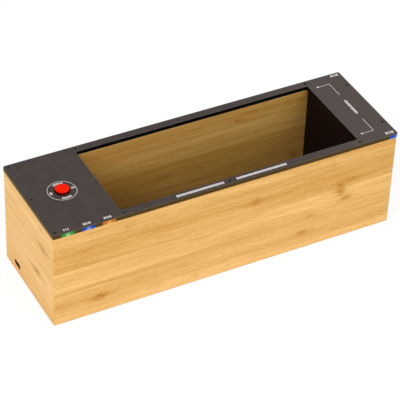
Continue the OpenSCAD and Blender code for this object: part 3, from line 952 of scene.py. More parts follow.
@dataclass(frozen=True)
class PlateLaminate(Finish):
    """Dark matte laminate: printed grain and a painted sheen on top, a brown core at the sides, sealed black
    openings.

    The corner is the plate's largest x, y and z. The bands give depths under it, from which and to
    which something is eased in.
    """

    corner: Sequence[float]
    face: str = "413936"
    cloud: str = "49413E"
    # painted sheen: the paler tone that the top fades to towards the right
    pale: str = "5A524E"
    fleck: str = "625A55"
    core: str = "4A3610"
    end_core: str = "8A7040"
    sealed: str = "050403"
    # rubbed wear and a painted highlight along the plate's edges
    arris: str = "A39B92"
    grain_scale: float = 2600.0
    fleck_share: float = 0.35
    scratch_share: float = 0.16
    upward_range: Range = (0.35, 0.65)
    pale_range: Range = (30.0 * MM, 115.0 * MM, 0.0, 0.6)
    outline_band: tuple[float, float] = (1.2 * MM, 1.0 * MM)
    end_band: tuple[float, float] = (0.6 * MM, 0.2 * MM)
    low_band: tuple[float, float] = (0.8 * MM, 2.2 * MM)
    # the upper edge gets the most wear and painted highlight, and the left end little of either
    rubbed_band: tuple[float, float] = (0.6 * MM, 0.3 * MM)
    rubbed_levels: tuple[float, float] = (0.05, 0.70)
    spared_band: tuple[float, float] = (0.8 * MM, 0.4 * MM)
    spared_level: float = 0.2
    arris_radius: float = 0.30 * MM
    roughness: float = 0.57
    unevenness: float = 0.06
    scratch_gloss: float = -0.10
    relief: float = 0.02 * MM
    specular: float = 0.10

    def paint(self, graph: Graph, where: Socket) -> dict[str, Value]:
        """Tells the top from the cut sides by which way they face, and rubs the upper edge pale with a
        painted highlight.

        Args:
            graph: The material's tree.
            where: The place on the piece.

        Returns:
            What feeds the shader's inputs, by name.
        """
        grain = graph.use(FineGrain, Vector=where, Scale=self.grain_scale)
        scratches = graph.use(HairScratches, Vector=where)["Mask"]
        arris = graph.use(SoftArris, Vector=where, Radius=self.arris_radius, Breakup=0.35)
        flat = graph.add("ShaderNodeNewGeometry").outputs["True Normal"]
        upward = graph.ramp(graph.split(flat)[2], *self.upward_range)
        top = self.top_tone(graph, where, grain, scratches)
        face = graph.blend(upward, self.side_tone(graph, where), top)
        # rubbed wear and painted highlight on the edges
        worn = graph.math("MULTIPLY", arris["Mask"], self.wear(graph, where))
        dull = graph.spread(grain["Mottle"], self.roughness, self.unevenness)
        return {
            "Base Color": graph.blend(worn, face, colour(self.arris)),
            "Roughness": graph.math("MULTIPLY_ADD", scratches, self.scratch_gloss, dull),
            "Normal": graph.bump(grain["Height"], self.relief, arris["Normal"]),
            "Specular IOR Level": self.specular,
        }

    def top_tone(self, graph: Graph, where: Socket, grain: dict[str, Socket], scratches: Socket) -> Socket:
        """Clouds the top and flecks it, and paints a sheen that makes it paler towards the right.

        Args:
            graph: The material's tree.
            where: The place on the piece.
            grain: What the grain's effect gives.
            scratches: The mask of scratches.

        Returns:
            The top's colour.
        """
        tone = graph.blend(grain["Mottle"], colour(self.face), colour(self.cloud))
        for mask, share in ((grain["Speck"], self.fleck_share), (scratches, self.scratch_share)):
            tone = graph.blend(graph.math("MULTIPLY", mask, share), tone, colour(self.fleck))
        # painted sheen: the top grows paler towards the right
        right = graph.ramp(graph.split(where)[0], *self.pale_range)
        return graph.blend(right, tone, colour(self.pale))

    def side_tone(self, graph: Graph, where: Socket) -> Socket:
        """Shows the brown core round the plate's outline, and seals every other cut side.

        Args:
            graph: The material's tree.
            where: The place on the piece.

        Returns:
            The cut sides' colour.
        """
        x, y, z = graph.split(graph.vector("ABSOLUTE", where))
        past_x = graph.ramp(x, *self.under(0, self.outline_band))
        past_y = graph.ramp(y, *self.under(1, self.outline_band))
        outer = graph.math("MAXIMUM", past_x, past_y)
        low = graph.ramp(z, *self.under(2, self.low_band))
        at_end = graph.math("MULTIPLY", self.left_end(graph, where, self.end_band), low)
        side = graph.blend(at_end, colour(self.core), colour(self.end_core))
        return graph.blend(outer, colour(self.sealed), side)

    def wear(self, graph: Graph, where: Socket) -> Socket:
        """Rubs the upper edge most, and the left end's hardly at all, as wear and a painted highlight.

        Args:
            graph: The material's tree.
            where: The place on the piece.

        Returns:
            How much of an edge is rubbed pale, as wear and a painted highlight.
        """
        height = graph.split(where)[2]
        upper = graph.ramp(height, *self.under(2, self.rubbed_band), *self.rubbed_levels)
        end = self.left_end(graph, where, self.spared_band)
        spared = graph.math("MULTIPLY_ADD", end, self.spared_level - 1.0, 1.0)
        return graph.math("MULTIPLY", upper, spared)

    def under(self, axis: int, band: tuple[float, float]) -> tuple[float, float]:
        """A band of depths under the corner, as places along one axis."""
        return (self.corner[axis] - band[0], self.corner[axis] - band[1])

    def left_end(self, graph: Graph, where: Socket, band: tuple[float, float]) -> Socket:
        """Masks the plate's left end.

        Args:
            graph: The material's tree.
            where: The place on the piece.
            band: The depths behind the end from which and to which the mask is eased in.

        Returns:
            1 at the end, and 0 behind the band.
        """
        start, end = self.under(0, band)
        return graph.ramp(graph.split(where)[0], -start, -end)


@dataclass(frozen=True)
class Ink(Finish):
    """Thick pale screen ink, a little patchy where it is thin."""

    tone: str = "F7F2EE"
    thin: str = "C4BCB5"
    thin_share: float = 0.35
    grain_scale: float = 9000.0
    roughness: float = 0.61
    unevenness: float = 0.12
    relief: float = 0.004 * MM

    def paint(self, graph: Graph, where: Socket) -> dict[str, Value]:
        """Breaks the ink's tone and gloss up with pinholes.

        Args:
            graph: The material's tree.
            where: The place on the piece.

        Returns:
            What feeds the shader's inputs, by name.
        """
        grain = graph.use(FineGrain, Vector=where, Scale=self.grain_scale)
        pinholes = graph.math("MULTIPLY", grain["Speck"], self.thin_share)
        return {
            "Base Color": graph.blend(pinholes, colour(self.tone), colour(self.thin)),
            "Roughness": graph.spread(grain["Mottle"], self.roughness, self.unevenness),
            "Normal": graph.bump(grain["Height"], self.relief),
        }


@dataclass(frozen=True)
class Moulded(Finish):
    """Moulded or coated plastic with a spark-eroded grain and rubbed edges."""

    tone: str = "202022"
    shade: str = "141416"
    edge: str = "5A5A5C"
    roughness: float = 0.5
    unevenness: float = 0.10
    grain_scale: float = 4000.0
    relief: float = 0.012 * MM
    arris_radius: float = 0.3 * MM
    edge_wear: float = 0.3

    def paint(self, graph: Graph, where: Socket) -> dict[str, Value]:
        """Mottles the tone, wears the edges and pebbles the face.

        Args:
            graph: The material's tree.
            where: The place on the piece.

        Returns:
            What feeds the shader's inputs, by name.
        """
        grain = graph.use(FineGrain, Vector=where, Scale=self.grain_scale)
        arris = graph.use(SoftArris, Vector=where, Radius=self.arris_radius, Breakup=0.5)
        face = graph.blend(grain["Mottle"], colour(self.tone), colour(self.shade))
        worn = graph.math("MULTIPLY", arris["Mask"], self.edge_wear)
        return {
            "Base Color": graph.blend(worn, face, colour(self.edge)),
            "Roughness": graph.spread(grain["Mottle"], self.roughness, self.unevenness),
            "Normal": graph.bump(grain["Height"], self.relief, arris["Normal"]),
        }


@dataclass(frozen=True)
class Enamel(Finish):
    """Red lacquer, full red on top, with painted shade down the side and a painted highlight on the rim."""

    top: str = "FC2000"
    swirl: str = "F61C00"
    # painted shade: the dark red that the cap's side takes, where shade falls
    side: str = "4A0A04"
    # painted highlight: the pale red that the cap's rounded rim takes
    edge: str = "F04A30"
    upward_range: Range = (0.20, 0.70)
    grain_scale: float = 5200.0
    arris_radius: float = 0.3 * MM
    edge_wear: float = 0.15
    roughness: float = 0.47
    unevenness: float = 0.1
    relief: float = 0.006 * MM
    specular: float = 0.03

    def paint(self, graph: Graph, where: Socket) -> dict[str, Value]:
        """Tells the top from the side by which way they face, and paints shade down the side.

        Args:
            graph: The material's tree.
            where: The place on the piece.

        Returns:
            What feeds the shader's inputs, by name.
        """
        grain = graph.use(FineGrain, Vector=where, Scale=self.grain_scale)
        arris = graph.use(SoftArris, Vector=where, Radius=self.arris_radius, Breakup=0.5)
        flat = graph.add("ShaderNodeNewGeometry").outputs["Normal"]
        upward = graph.ramp(graph.split(flat)[2], *self.upward_range)
        top = graph.blend(grain["Mottle"], colour(self.top), colour(self.swirl))
        # painted shade: faces that don't look up take the side's dark red
        face = graph.blend(upward, colour(self.side), top)
        # painted highlight along the rim, through the edge mask
        worn = graph.math("MULTIPLY", arris["Mask"], self.edge_wear)
        return {
            "Base Color": graph.blend(worn, face, colour(self.edge)),
            "Roughness": graph.spread(grain["Speck"], self.roughness, self.unevenness),
            "Normal": graph.bump(grain["Height"], self.relief, arris["Normal"]),
            "Specular IOR Level": self.specular,
        }


@dataclass(frozen=True)
class LitWindow(Finish):
    """Tinted clear plastic with a light behind it: a bright heart that fades to its ends."""

    dark: str
    glow: str
    heart: str
    lights: tuple[Point, ...]
    foot: float
    strength: float = 0.12
    grain_scale: float = 2600.0
    arris_radius: float = 0.2 * MM
    roughness: float = 0.27
    unevenness: float = 0.1
    relief: float = 0.006 * MM
    specular: float = 0.12

    def paint(self, graph: Graph, where: Socket) -> dict[str, Value]:
        """Tints the window by the glow of the light that is nearest.

        Args:
            graph: The material's tree.
            where: The place on the piece.

        Returns:
            What feeds the shader's inputs, by name.
        """
        wide: Value = 0.0
        heart: Value = 0.0
        for x, y in self.lights:
            glow = graph.use(WindowGlow, Vector=where, Light=(x, y, 0.0), Foot=self.foot)
            wide = graph.math("MAXIMUM", wide, glow["Wide"])
            heart = graph.math("MAXIMUM", heart, glow["Heart"])
        grain = graph.use(FineGrain, Vector=where, Scale=self.grain_scale)
        arris = graph.use(SoftArris, Vector=where, Radius=self.arris_radius, Breakup=0.3)
        tint = graph.blend(wide, colour(self.dark), colour(self.glow))
        tint = graph.blend(heart, tint, colour(self.heart))
        return {
            "Base Color": tint,
            "Emission Color": tint,
            "Emission Strength": self.strength,
            "Roughness": graph.spread(grain["Mottle"], self.roughness, self.unevenness),
            "Normal": graph.bump(grain["Height"], self.relief, arris["Normal"]),
            "Specular IOR Level": self.specular,
        }


@dataclass(frozen=True)
class Metal(Finish):
    """Plated, blackened or painted metal with drawn lines, wear and hairline scratches."""

    tone: str = "B8B9BC"
    shade: str = "8F9094"
    edge: str = "E4E4E6"
    # painted shade: the near-black colour inside a pit or bore
    hollow: str = "050505"
    roughness: float = 0.34
    unevenness: float = 0.2
    metallic: float = 1.0
    lines: tuple[float, float, float] = (200.0, 200.0, 9000.0)
    arris_radius: float = 0.15 * MM
    edge_wear: float = 0.5
    relief: float = 0.004 * MM
    specular: float = 0.5
    pit: Union[float, None] = None
    pit_depth: float = 0.2 * MM

    def paint(self, graph: Graph, where: Socket) -> dict[str, Value]:
        """Draws lines through the face, paints shade into its hollows and brightens its edges.

        Args:
            graph: The material's tree.
            where: The place on the piece.

        Returns:
            What feeds the shader's inputs, by name.
        """
        drawn = graph.use(DrawnLines, Vector=where, Lines=self.lines)
        scratches = graph.use(HairScratches, Vector=where)
        arris = graph.use(SoftArris, Vector=where, Radius=self.arris_radius, Breakup=0.4)
        face = graph.blend(drawn["Tone"], colour(self.tone), colour(self.shade))
        hollow = self.hollow_mask(graph, where)
        # painted shade in the hollow
        if hollow is not None:
            face = graph.blend(hollow, face, colour(self.hollow))
        worn = graph.math("MAXIMUM", arris["Mask"], scratches["Mask"])
        worn = graph.math("MULTIPLY", worn, self.edge_wear)
        return {
            "Base Color": graph.blend(worn, face, colour(self.edge)),
            "Metallic": self.metallic,
            "Roughness": graph.spread(drawn["Height"], self.roughness, self.unevenness),
            "Normal": graph.bump(drawn["Height"], self.relief, arris["Normal"]),
            "Specular IOR Level": self.specular,
        }

    def hollow_mask(self, graph: Graph, where: Socket) -> Union[Socket, None]:
        """Masks what lies in a pit, for its painted shade.

        Args:
            graph: The material's tree.
            where: The place on the piece.

        Returns:
            1 below the pit's mouth, or None for a metal without one.
        """
        if self.pit is None:
            return None
        return graph.ramp(graph.split(where)[2], self.pit, self.pit - self.pit_depth)


@dataclass(frozen=True)
class SocketShell(Metal):
    """A charging socket: a drawn steel shell, with painted shade on its inside and tongue."""

    oval: Oval = field(kw_only=True)
    bore_range: tuple[float, float] = (1.49 * MM, 1.41 * MM)

    def hollow_mask(self, graph: Graph, where: Socket) -> Union[Socket, None]:
        """Masks what lies inside the shell's oval bore, for its painted shade.

        Args:
            graph: The material's tree.
            where: The place on the piece.

        Returns:
            1 inside the bore.
        """
        _, y, z = graph.split(where)
        return graph.ramp(self.oval.distance(graph, y, z), *self.bore_range)


@dataclass(frozen=True)
class Felt(Finish):
    """Pressed felt, open foam or pulp: matted fibres with a soft sheen."""

    tone: str = "1B1817"
    shade: str = "0D0C0B"
    lint: str = "3A3532"
    fibre_scale: float = 2600.0
    roughness: float = 0.92
    unevenness: float = 0.08
    relief: float = 0.12 * MM
    sheen: float = 0.25

    def paint(self, graph: Graph, where: Socket) -> dict[str, Value]:
        """Lays clumps of fibre and lint.

        Args:
            graph: The material's tree.
            where: The place on the piece.

        Returns:
            What feeds the shader's inputs, by name.
        """
        fibres = graph.use(MattedFibres, Vector=where, Scale=self.fibre_scale)
        face = graph.blend(fibres["Clump"], colour(self.tone), colour(self.shade))
        return {
            "Base Color": graph.blend(fibres["Lint"], face, colour(self.lint)),
            "Roughness": graph.spread(fibres["Height"], self.roughness, self.unevenness),
            "Normal": graph.bump(fibres["Height"], self.relief),
            "Sheen Weight": self.sheen,
        }


@dataclass(frozen=True)
class SolderMask(Finish):
    """A circuit board: lacquered copper tracks, bare board between them, and tinned pads."""

    tone: str = "0B4A26"
    track: str = "1C6B3A"
    pad: str = "B9B4A4"
    roughness: float = 0.34
    unevenness: float = 0.12
    relief: float = 0.03 * MM

    def paint(self, graph: Graph, where: Socket) -> dict[str, Value]:
        """Lays tracks under the mask and pads on it.

        Args:
            graph: The material's tree.
            where: The place on the piece.

        Returns:
            What feeds the shader's inputs, by name.
        """
        board = graph.use(BoardTracks, Vector=where)
        face = graph.blend(board["Track"], colour(self.tone), colour(self.track))
        return {
            "Base Color": graph.blend(board["Pad"], face, colour(self.pad)),
            "Roughness": graph.spread(board["Pad"], self.roughness, self.unevenness),
            "Normal": graph.bump(board["Height"], self.relief),
        }


@dataclass(frozen=True)
class Floor(Finish):
    """Plain white paper sweep that keeps the box's soft shadow."""

    paper: str = "F8F8F8"
    tooth: str = "ECECEC"
    tooth_scale: float = 900.0
    tooth_share: float = 0.03
    roughness: float = 0.9
    lift: float = 0.80
    glow: float = 1.05

    def paint(self, graph: Graph, where: Socket) -> dict[str, Value]:
        """Gives the paper a faint tooth.

        Args:
            graph: The material's tree.
            where: The place on the floor.

        Returns:
            What feeds the shader's inputs, by name.
        """
        tooth = graph.math("MULTIPLY", graph.noise(where, self.tooth_scale), self.tooth_share)
        paper = graph.blend(tooth, colour(self.paper), colour(self.tooth))
        return {"Base Color": paper, "Roughness": self.roughness, "Specular IOR Level": 0.0}

    def complete(self, graph: Graph, shader: bpy.types.Node) -> None:
        """Lifts the paper to white where the camera or a reflection looks at it.

        Args:
            graph: The material's tree.
            shader: Its Principled shader.
        """
        glow = graph.add("ShaderNodeEmission")
        graph.feed(glow.inputs["Strength"], self.glow)
        mix = graph.add("ShaderNodeMixShader")
        seen = graph.math("MULTIPLY", graph.looked_at(), self.lift)
        graph.line_up(mix, (seen, shader.outputs[0], glow.outputs[0]))
        output = graph.tree.nodes["Material Output"]
        graph.feed(output.inputs["Surface"], mix.outputs[0])


def socket_oval() -> Oval:
    """The middle line of the charging socket's oval, from the size of its shell."""
    low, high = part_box("usb_socket")
    return Oval(((low.y + high.y) / 2, (low.z + high.z) / 2), (high.y - low.y - high.z + low.z) / 2)


@dataclass
class SubAssembly(ABC):
    """A group of pieces that belong together on the box."""

    frame: dict

    @abstractmethod
    def build(self) -> None:
        """Makes the group's own pieces and dresses its CAD nodes."""

    def dress(self, finish: Finish, *nodes: str) -> None:
        """Gives CAD nodes a finish.

        Args:
            finish: The finish that they get.
            nodes: The nodes' names.
        """
        for name in nodes:
            for slot in self.frame["nodes"][name].material_slots:
                slot.material = finish.material()
            LOG.info("%s: %s", name, finish.label)

    def add_piece(self, name: str, mesh: bpy.types.Mesh, finish: Finish, body: Body, slot: str) -> None:
        """Adds a new piece that rides on a body.

        Args:
            name: The piece's name.
            mesh: Its mesh, in the row frame.
            finish: Its finish.
            body: The body that it moves with.
            slot: The record's material slot; not used.
        """
        mesh.materials.append(finish.material())
        piece = bpy.data.objects.new(name, mesh)
        bpy.context.scene.collection.objects.link(piece)
        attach(piece, body.value)
        LOG.info("%s: %s, %d faces", name, finish.label, len(mesh.polygons))


@dataclass
class Case(SubAssembly):
    """The mitred bamboo walls, the base let into them and its feet."""

    front_marks: tuple[Mark, ...] = (
        Mark(20.0, 56.3, 5.2, 3.6, 0.85),
        Mark(95.5, 50.6, 8.0, 2.6, 0.95),
        Mark(88.2, 45.0, 3.6, 8.0, 1.2, -1.8),
        Mark(93.6, 35.6, 5.2, 3.2, 0.9),
        Mark(66.0, 28.2, 4.6, 2.6, 0.45),
        Mark(58.8, 15.2, 5.2, 3.2, 0.80),
        Mark(-97.8, 15.0, 6.2, 3.6, 1.2, 1.6),
        Mark(-77.0, 70.0, 6.0, 3.4, 0.35),
        Mark(81.0, 66.5, 3.6, 5.0, 0.30),
        Mark(-25.0, 7.0, 2.4, 3.0, 0.30),
    )
    left_marks: tuple[Mark, ...] = (
        Mark(-25.0, 57.0, 7.5, 3.8, 1.0),
        Mark(-13.5, 29.0, 7.5, 3.6, 0.95),
        Mark(-22.0, 70.5, 3.0, 2.4, 0.35),
    )
    right_marks: tuple[Mark, ...] = (Mark(14.0, 50.0, 5.0, 3.4, 0.7), Mark(-8.0, 20.0, 5.0, 3.0, 0.6))
    back_marks: tuple[Mark, ...] = (
        Mark(-70.0, 52.0, 4.4, 4.2, 0.8, 1.2),
        Mark(-12.0, 34.0, 5.0, 3.0, 0.6),
        Mark(48.0, 66.0, 4.6, 2.8, 0.6),
        Mark(96.0, 20.0, 4.4, 4.0, 0.8, -1.0),
        Mark(-104.0, 13.0, 4.6, 2.8, 0.6),
    )
    left_tones: tuple[float, ...] = (0.22, 0.10, 0.26, 0.18, 0.44)
    right_tones: tuple[float, ...] = (0.30, 0.16, 0.40, 0.24)
    back_tones: tuple[float, ...] = (0.20, 0.42, 0.10, 0.34, 0.28)

    def build(self) -> None:
        """Gives each wall its own strips and growth marks."""
        along_y = Grain.ALONG_Y_FACE_X
        # the walls' inner faces lie at this depth and get painted shade
        inside = -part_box("front_panel")[1].y
        self.dress(Bamboo("bamboo_front", marks=self.front_marks, inside=inside), "front_panel")
        back = Bamboo("bamboo_back", tones=self.back_tones, marks=self.back_marks, inside=inside)
        self.dress(back, "back_panel")
        left = Bamboo(
            "bamboo_left",
            grain=along_y,
            tones=self.left_tones,
            pale="F8C87C",
            deep="E4AC50",
            marks=self.left_marks,
            slot=socket_oval(),
        )
        self.dress(left, "left_panel")
        right = Bamboo("bamboo_right", grain=along_y, tones=self.right_tones, marks=self.right_marks)
        self.dress(right, "right_panel")
        base = Bamboo("bamboo_base", grain=Grain.ALONG_X_FACE_Z, offset=-3.0 * MM, roughness=0.56)
        self.dress(base, "base_panel")
        rubber = Moulded(
            "foot_rubber", tone="1E1E1E", shade="151515", edge="3C3C3C", roughness=0.8, relief=0.03 * MM
        )
        self.dress(rubber, "feet")


@dataclass
class Well(SubAssembly):
    """What lines the well that the phone stands in."""

    def build(self) -> None:
        """Dresses the boards, the pad and the sound grille."""
        # painted shade: the well's inner boards take darker tones, as the shade inside the well; the higher
        # roughness is their matte finish
        inner = {"pale": "DDB06C", "deep": "B9853F", "fibre": "946428", "roughness": 0.6}
        shaded_inner_bamboo = Bamboo("bamboo_inner_along_y", grain=Grain.ALONG_Y_FACE_X, **inner)
        self.dress(shaded_inner_bamboo, "left_partition")
        floor = Bamboo("bamboo_inner_along_x", grain=Grain.ALONG_X_FACE_Z, **inner)
        self.dress(floor, "well_floor", "board_rails")
        # painted shade: the baffle is near-black, as the shade seen through the grille's holes
        stain = {"pale": "0F0906", "deep": "0A0503", "fibre": "060302", "roughness": 0.8}
        shade_black_baffle = Bamboo("shade_black_board", grain=Grain.ALONG_Y_FACE_X, **stain)
        self.dress(shade_black_baffle, "speaker_baffle")
        self.dress(Felt("pad_felt"), "floor_pad")
        paint = Metal(
            "grille_paint",
            tone="1F100A",
            shade="160A06",
            edge="3A2C24",
            roughness=0.6,
            metallic=0.0,
            lines=(3000.0, 3000.0, 3000.0),
            edge_wear=0.1,
            specular=0.10,
        )
        self.dress(paint, "well_mesh")


class Relief:
    """Collects flat outlines as thin raised pieces in one mesh."""

    circle_steps = 96
    # A text curve's size and the thickening of its strokes, for figures that are 1 tall.
    text_size = 1.42
    text_weight = 0.035
    weld = 0.001 * MM

    def __init__(self, base_z: float, thickness: float) -> None:
        """Starts with no pieces.

        Args:
            base_z: The height that the pieces lie at.
            thickness: Their thickness.
        """
        self.base_z = base_z
        self.thickness = thickness
        self.shape = bmesh.new()

    def add_loops(self, *loops: Sequence[Point]) -> None:
        """Adds one flat piece.

        Args:
            loops: Its outlines, where a loop inside another is a hole.
        """
        curve = bpy.data.curves.new("outline", "CURVE")
        curve.dimensions = "2D"
        curve.fill_mode = "BOTH"
        for loop in loops:
            spline = curve.splines.new("POLY")
            spline.points.add(len(loop) - 1)
            spline.use_cyclic_u = True
            for point, (x, y) in zip(spline.points, loop):
                point.co = (x, y, 0.0, 1.0)
        self.take(curve, 0.0, 0.0)

    def add_ring(self, x: float, y: float, outer: float, inner: float) -> None:
        """Adds a flat ring.

        Args:
            x: The place of its middle along the box.
            y: The place of its middle from front to back.
            outer: Its outer radius.
            inner: Its inner radius.
        """
        turns = [math.tau * i / self.circle_steps for i in range(self.circle_steps)]
        loops = [[(x + r * math.cos(turn), y + r * math.sin(turn)) for turn in turns] for r in (outer, inner)]
        self.add_loops(*loops)

    def add_bar(self, x: float, y: float, length: float, width: float, turn: float = 0.0) -> None:
        """Adds a straight bar.

        Args:
            x: The place of its middle along the box.
            y: The place of its middle from front to back.
            length: Its size along the box.
            width: Its size from front to back.
            turn: How far it is turned anticlockwise, in radians.
        """
        ends = [(-length, -width), (length, -width), (length, width), (-length, width)]
        c = math.cos(turn)
        s = math.sin(turn)
        self.add_loops([(x + (a * c - b * s) / 2, y + (a * s + b * c) / 2) for a, b in ends])

    def add_text(self, text: str, x: float, y: float, height: float) -> None:
        """Adds plain figures.

        Args:
            text: The figures.
            x: The place of their middle along the box.
            y: The place of their middle from front to back.
            height: How tall they are.
        """
        curve = bpy.data.curves.new("figures", "FONT")
        curve.body = text
        curve.align_x = "CENTER"
        curve.align_y = "CENTER"
        curve.size = height * self.text_size
        curve.offset = height * self.text_weight
        self.take(curve, x, y)

    def take(self, curve: bpy.types.Curve, x: float, y: float) -> None:
        """Extrudes a curve and adds it to the mesh.

        Args:
            curve: The curve, which is removed afterwards.
            x: How far it is moved along the box.
            y: How far it is moved from front to back.
        """
        curve.extrude = self.thickness / 2
        holder = bpy.data.objects.new("holder", curve)
        mesh = bpy.data.meshes.new_from_object(holder)
        mesh.transform(Matrix.Translation((x, y, self.base_z + self.thickness / 2)))
        self.shape.from_mesh(mesh)
        bpy.data.objects.remove(holder)
        bpy.data.curves.remove(curve)
        bpy.data.meshes.remove(mesh)

    def mesh(self, name: str) -> bpy.types.Mesh:
        """Welds what was collected and faces it outwards.

        Args:
            name: The mesh's name.

        Returns:
            The mesh.
        """
        bmesh.ops.remove_doubles(self.shape, verts=self.shape.verts, dist=self.weld)
        bmesh.ops.recalc_face_normals(self.shape, faces=self.shape.faces)
        mesh = bpy.data.meshes.new(name)
        self.shape.to_mesh(mesh)
        self.shape.free()
        return mesh


@dataclass
class PlatePrint(SubAssembly):
    """The pale marks printed on the top plate: a ring, figures, scales and two brackets.

    Sizes of ticks are pairs, along the box and from front to back.
    """

    ink: Ink = Ink("ink")
    thickness: float = 0.03 * MM
    figure: float = 2.4 * MM
    row_y: float = -38.2 * MM
    ring_radius: float = 10.15 * MM
    ring_line: float = 0.26 * MM
    cap_radius: float = 8.0 * MM
    zero_size: float = 1.05
    one_tick: tuple[float, float] = (0.5 * MM, 1.7 * MM)
    one_tick_gap: float = 1.05 * MM
    arc_tick: tuple[float, float] = (1.8 * MM, 0.6 * MM)
    arc_half: int = 3
    arc_step: float = math.radians(7.5)
    windows: tuple[str, ...] = ("window_green", "window_blue", "window_orange")
    window_size: float = 0.86
    window_shift: float = 0.2 * MM
    corner_inset: float = 5.3 * MM
    corner_shifts: tuple[float, float] = (0.5 * MM, 0.3 * MM)
    side_tick: float = 0.66 * MM
    side_tick_gap: float = 1.75 * MM
    side_tick_step: float = 0.95 * MM
    scales: tuple[tuple[float, int], ...] = ((-40.0 * MM, 36), (5.6 * MM, 39))
    scale_step: float = 1.0 * MM
    scale_tick: tuple[float, float] = (0.62 * MM, 2.1 * MM)
    scale_long_tick: tuple[float, float] = (0.62 * MM, 2.5 * MM)
    scale_group: int = 5
    bracket_line: float = 0.29 * MM
    bracket_x: float = 118.5 * MM
    bracket_reach: float = 9.2 * MM
    bracket_outer: float = 30.6 * MM
    bracket_inner: float = 15.8 * MM
    head_front: float = 1.5 * MM
    head_back: float = 0.4 * MM
    head_half: float = 0.95 * MM
    sound_count: int = 11
    sound_half: float = 8.1 * MM
    sound_bar: tuple[float, float] = (1.5 * MM, 1.0 * MM)
    sound_swell: float = 0.6 * MM
    sound_turn: float = 1.9

    def build(self) -> None:
        """Prints each group of marks as its own piece."""
        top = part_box("top_plate")[1].z
        groups = {
            "print_button_ring": self.button_ring,
            "print_button_figures": self.button_figures,
            "print_window_figures": self.window_figures,
            "print_rim_scales": self.rim_scales,
            "print_well_brackets": self.well_brackets,
            "print_sound_bars": self.sound_bars,
        }
        for name, draw in groups.items():
            relief = Relief(top, self.thickness)
            draw(relief)
            self.add_piece(name, relief.mesh(name), self.ink, Body.CASE, "plate")

    def button_middle(self) -> Vector:
        """The middle of the button."""
        low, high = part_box("button_cap")
        return (low + high) / 2

    def button_ring(self, relief: Relief) -> None:
        """The thin ring round the button."""
        middle = self.button_middle()
        relief.add_ring(middle.x, middle.y, self.ring_radius, self.ring_radius - self.ring_line)

    def button_figures(self, relief: Relief) -> None:
        """Prints 0 and a ticked 1 beside the cap, and a row of ticks in front of it and behind it.

        Args:
            relief: What the marks are added to.
        """
        middle = self.button_middle()
        one_x = middle.x + self.cap_radius
        relief.add_text("0", middle.x - self.cap_radius, middle.y, self.figure * self.zero_size)
        relief.add_text("1", one_x, middle.y, self.figure)
        for side in (-1, 1):
            relief.add_bar(one_x + side * self.one_tick_gap, middle.y, *self.one_tick)
            for step in range(-self.arc_half, self.arc_half + 1):
                turn = side * math.pi / 2 + step * self.arc_step
                x = middle.x + self.cap_radius * math.cos(turn)
                y = middle.y + self.cap_radius * math.sin(turn)
                relief.add_bar(x, y, *self.arc_tick, turn)

    def window_figures(self, relief: Relief) -> None:
        """Prints a number at each lit window, between upright ticks.

        Args:
            relief: What the marks are added to.
        """
        for number, name in enumerate(self.windows, 1):
            low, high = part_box(name)
            x = (low.x + high.x) / 2 - self.window_shift
            self.ticked_figure(relief, str(number), (x, self.row_y), self.window_size)
        corner_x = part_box("top_plate")[1].x - self.corner_inset
        for row_y, shift in zip((self.row_y, -self.row_y), self.corner_shifts):
            self.ticked_figure(relief, "2", (corner_x, row_y + shift), 1.0)

    def ticked_figure(self, relief: Relief, text: str, place: Point, size: float) -> None:
        """Prints a figure between ticks, with one tick at each side of a 1 and two of the others.

        Args:
            relief: What the marks are added to.
            text: The figure.
            place: Its middle.
            size: Its size, in figures.
        """
        x, y = place
        relief.add_text(text, x, y, self.figure * size)
        for tick in range(1 if text == "1" else 2):
            away = (self.side_tick_gap + self.side_tick_step * tick) * size
            for side in (-1, 1):
                relief.add_bar(x + side * away, y, self.side_tick * size, self.figure * size)

    def rim_scales(self, relief: Relief) -> None:
        """Prints two fine scales on the front rim.

        Args:
            relief: What the marks are added to.
        """
        for start, ticks in self.scales:
            for i in range(ticks):
                tick = self.scale_tick if i % self.scale_group else self.scale_long_tick
                relief.add_bar(start + i * self.scale_step, self.row_y, *tick)

    def well_brackets(self, relief: Relief) -> None:
        """Prints two thin brackets whose arrows point back at the well's near and far corners.

        Args:
            relief: What the marks are added to.
        """
        half = self.bracket_line / 2
        start = self.bracket_x - self.bracket_reach
        for side in (-1, 1):
            outer = side * self.bracket_outer
            inner = side * self.bracket_inner
            corner = [
                (start, outer + side * half),
                (self.bracket_x + half, outer + side * half),
                (self.bracket_x + half, inner),
                (self.bracket_x - half, inner),
                (self.bracket_x - half, outer - side * half),
                (start, outer - side * half),
            ]
            relief.add_loops(corner)
            head = [
                (start - self.head_front, outer),
                (start + self.head_back, outer - self.head_half),
                (start + self.head_back, outer + self.head_half),
            ]
            relief.add_loops(head)

    def sound_bars(self, relief: Relief) -> None:
        """Prints a row of bars between the brackets that swells and falls like a level meter.

        Args:
            relief: What the marks are added to.
        """
        length, width = self.sound_bar
        for i in range(self.sound_count):
            y = self.sound_half * (2 * i / (self.sound_count - 1) - 1)
            swell = self.sound_swell * abs(math.sin(i * self.sound_turn))
            relief.add_bar(self.bracket_x, y, length + swell, width)


@dataclass
class TopPlate(SubAssembly):
    """The plate and the screws that hold it down."""

    recess: float = 0.05 * MM

    def build(self) -> None:
        """Dresses the plate and its screws."""
        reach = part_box("top_plate")[1]
        self.dress(PlateLaminate("plate_laminate", tuple(reach)), "top_plate")
        black = Metal(
            "black_oxide",
            tone="3A332F",
            shade="2B2522",
            # rubbed wear and a painted highlight on the heads' rims
            edge="8A837C",
            roughness=0.45,
            metallic=0.2,
            lines=(4000.0, 4000.0, 900.0),
            edge_wear=0.6,
            specular=0.25,
            # the screws' sockets get painted shade below this height
            pit=reach.z - self.recess,
        )
        self.dress(black, "plate_screws")


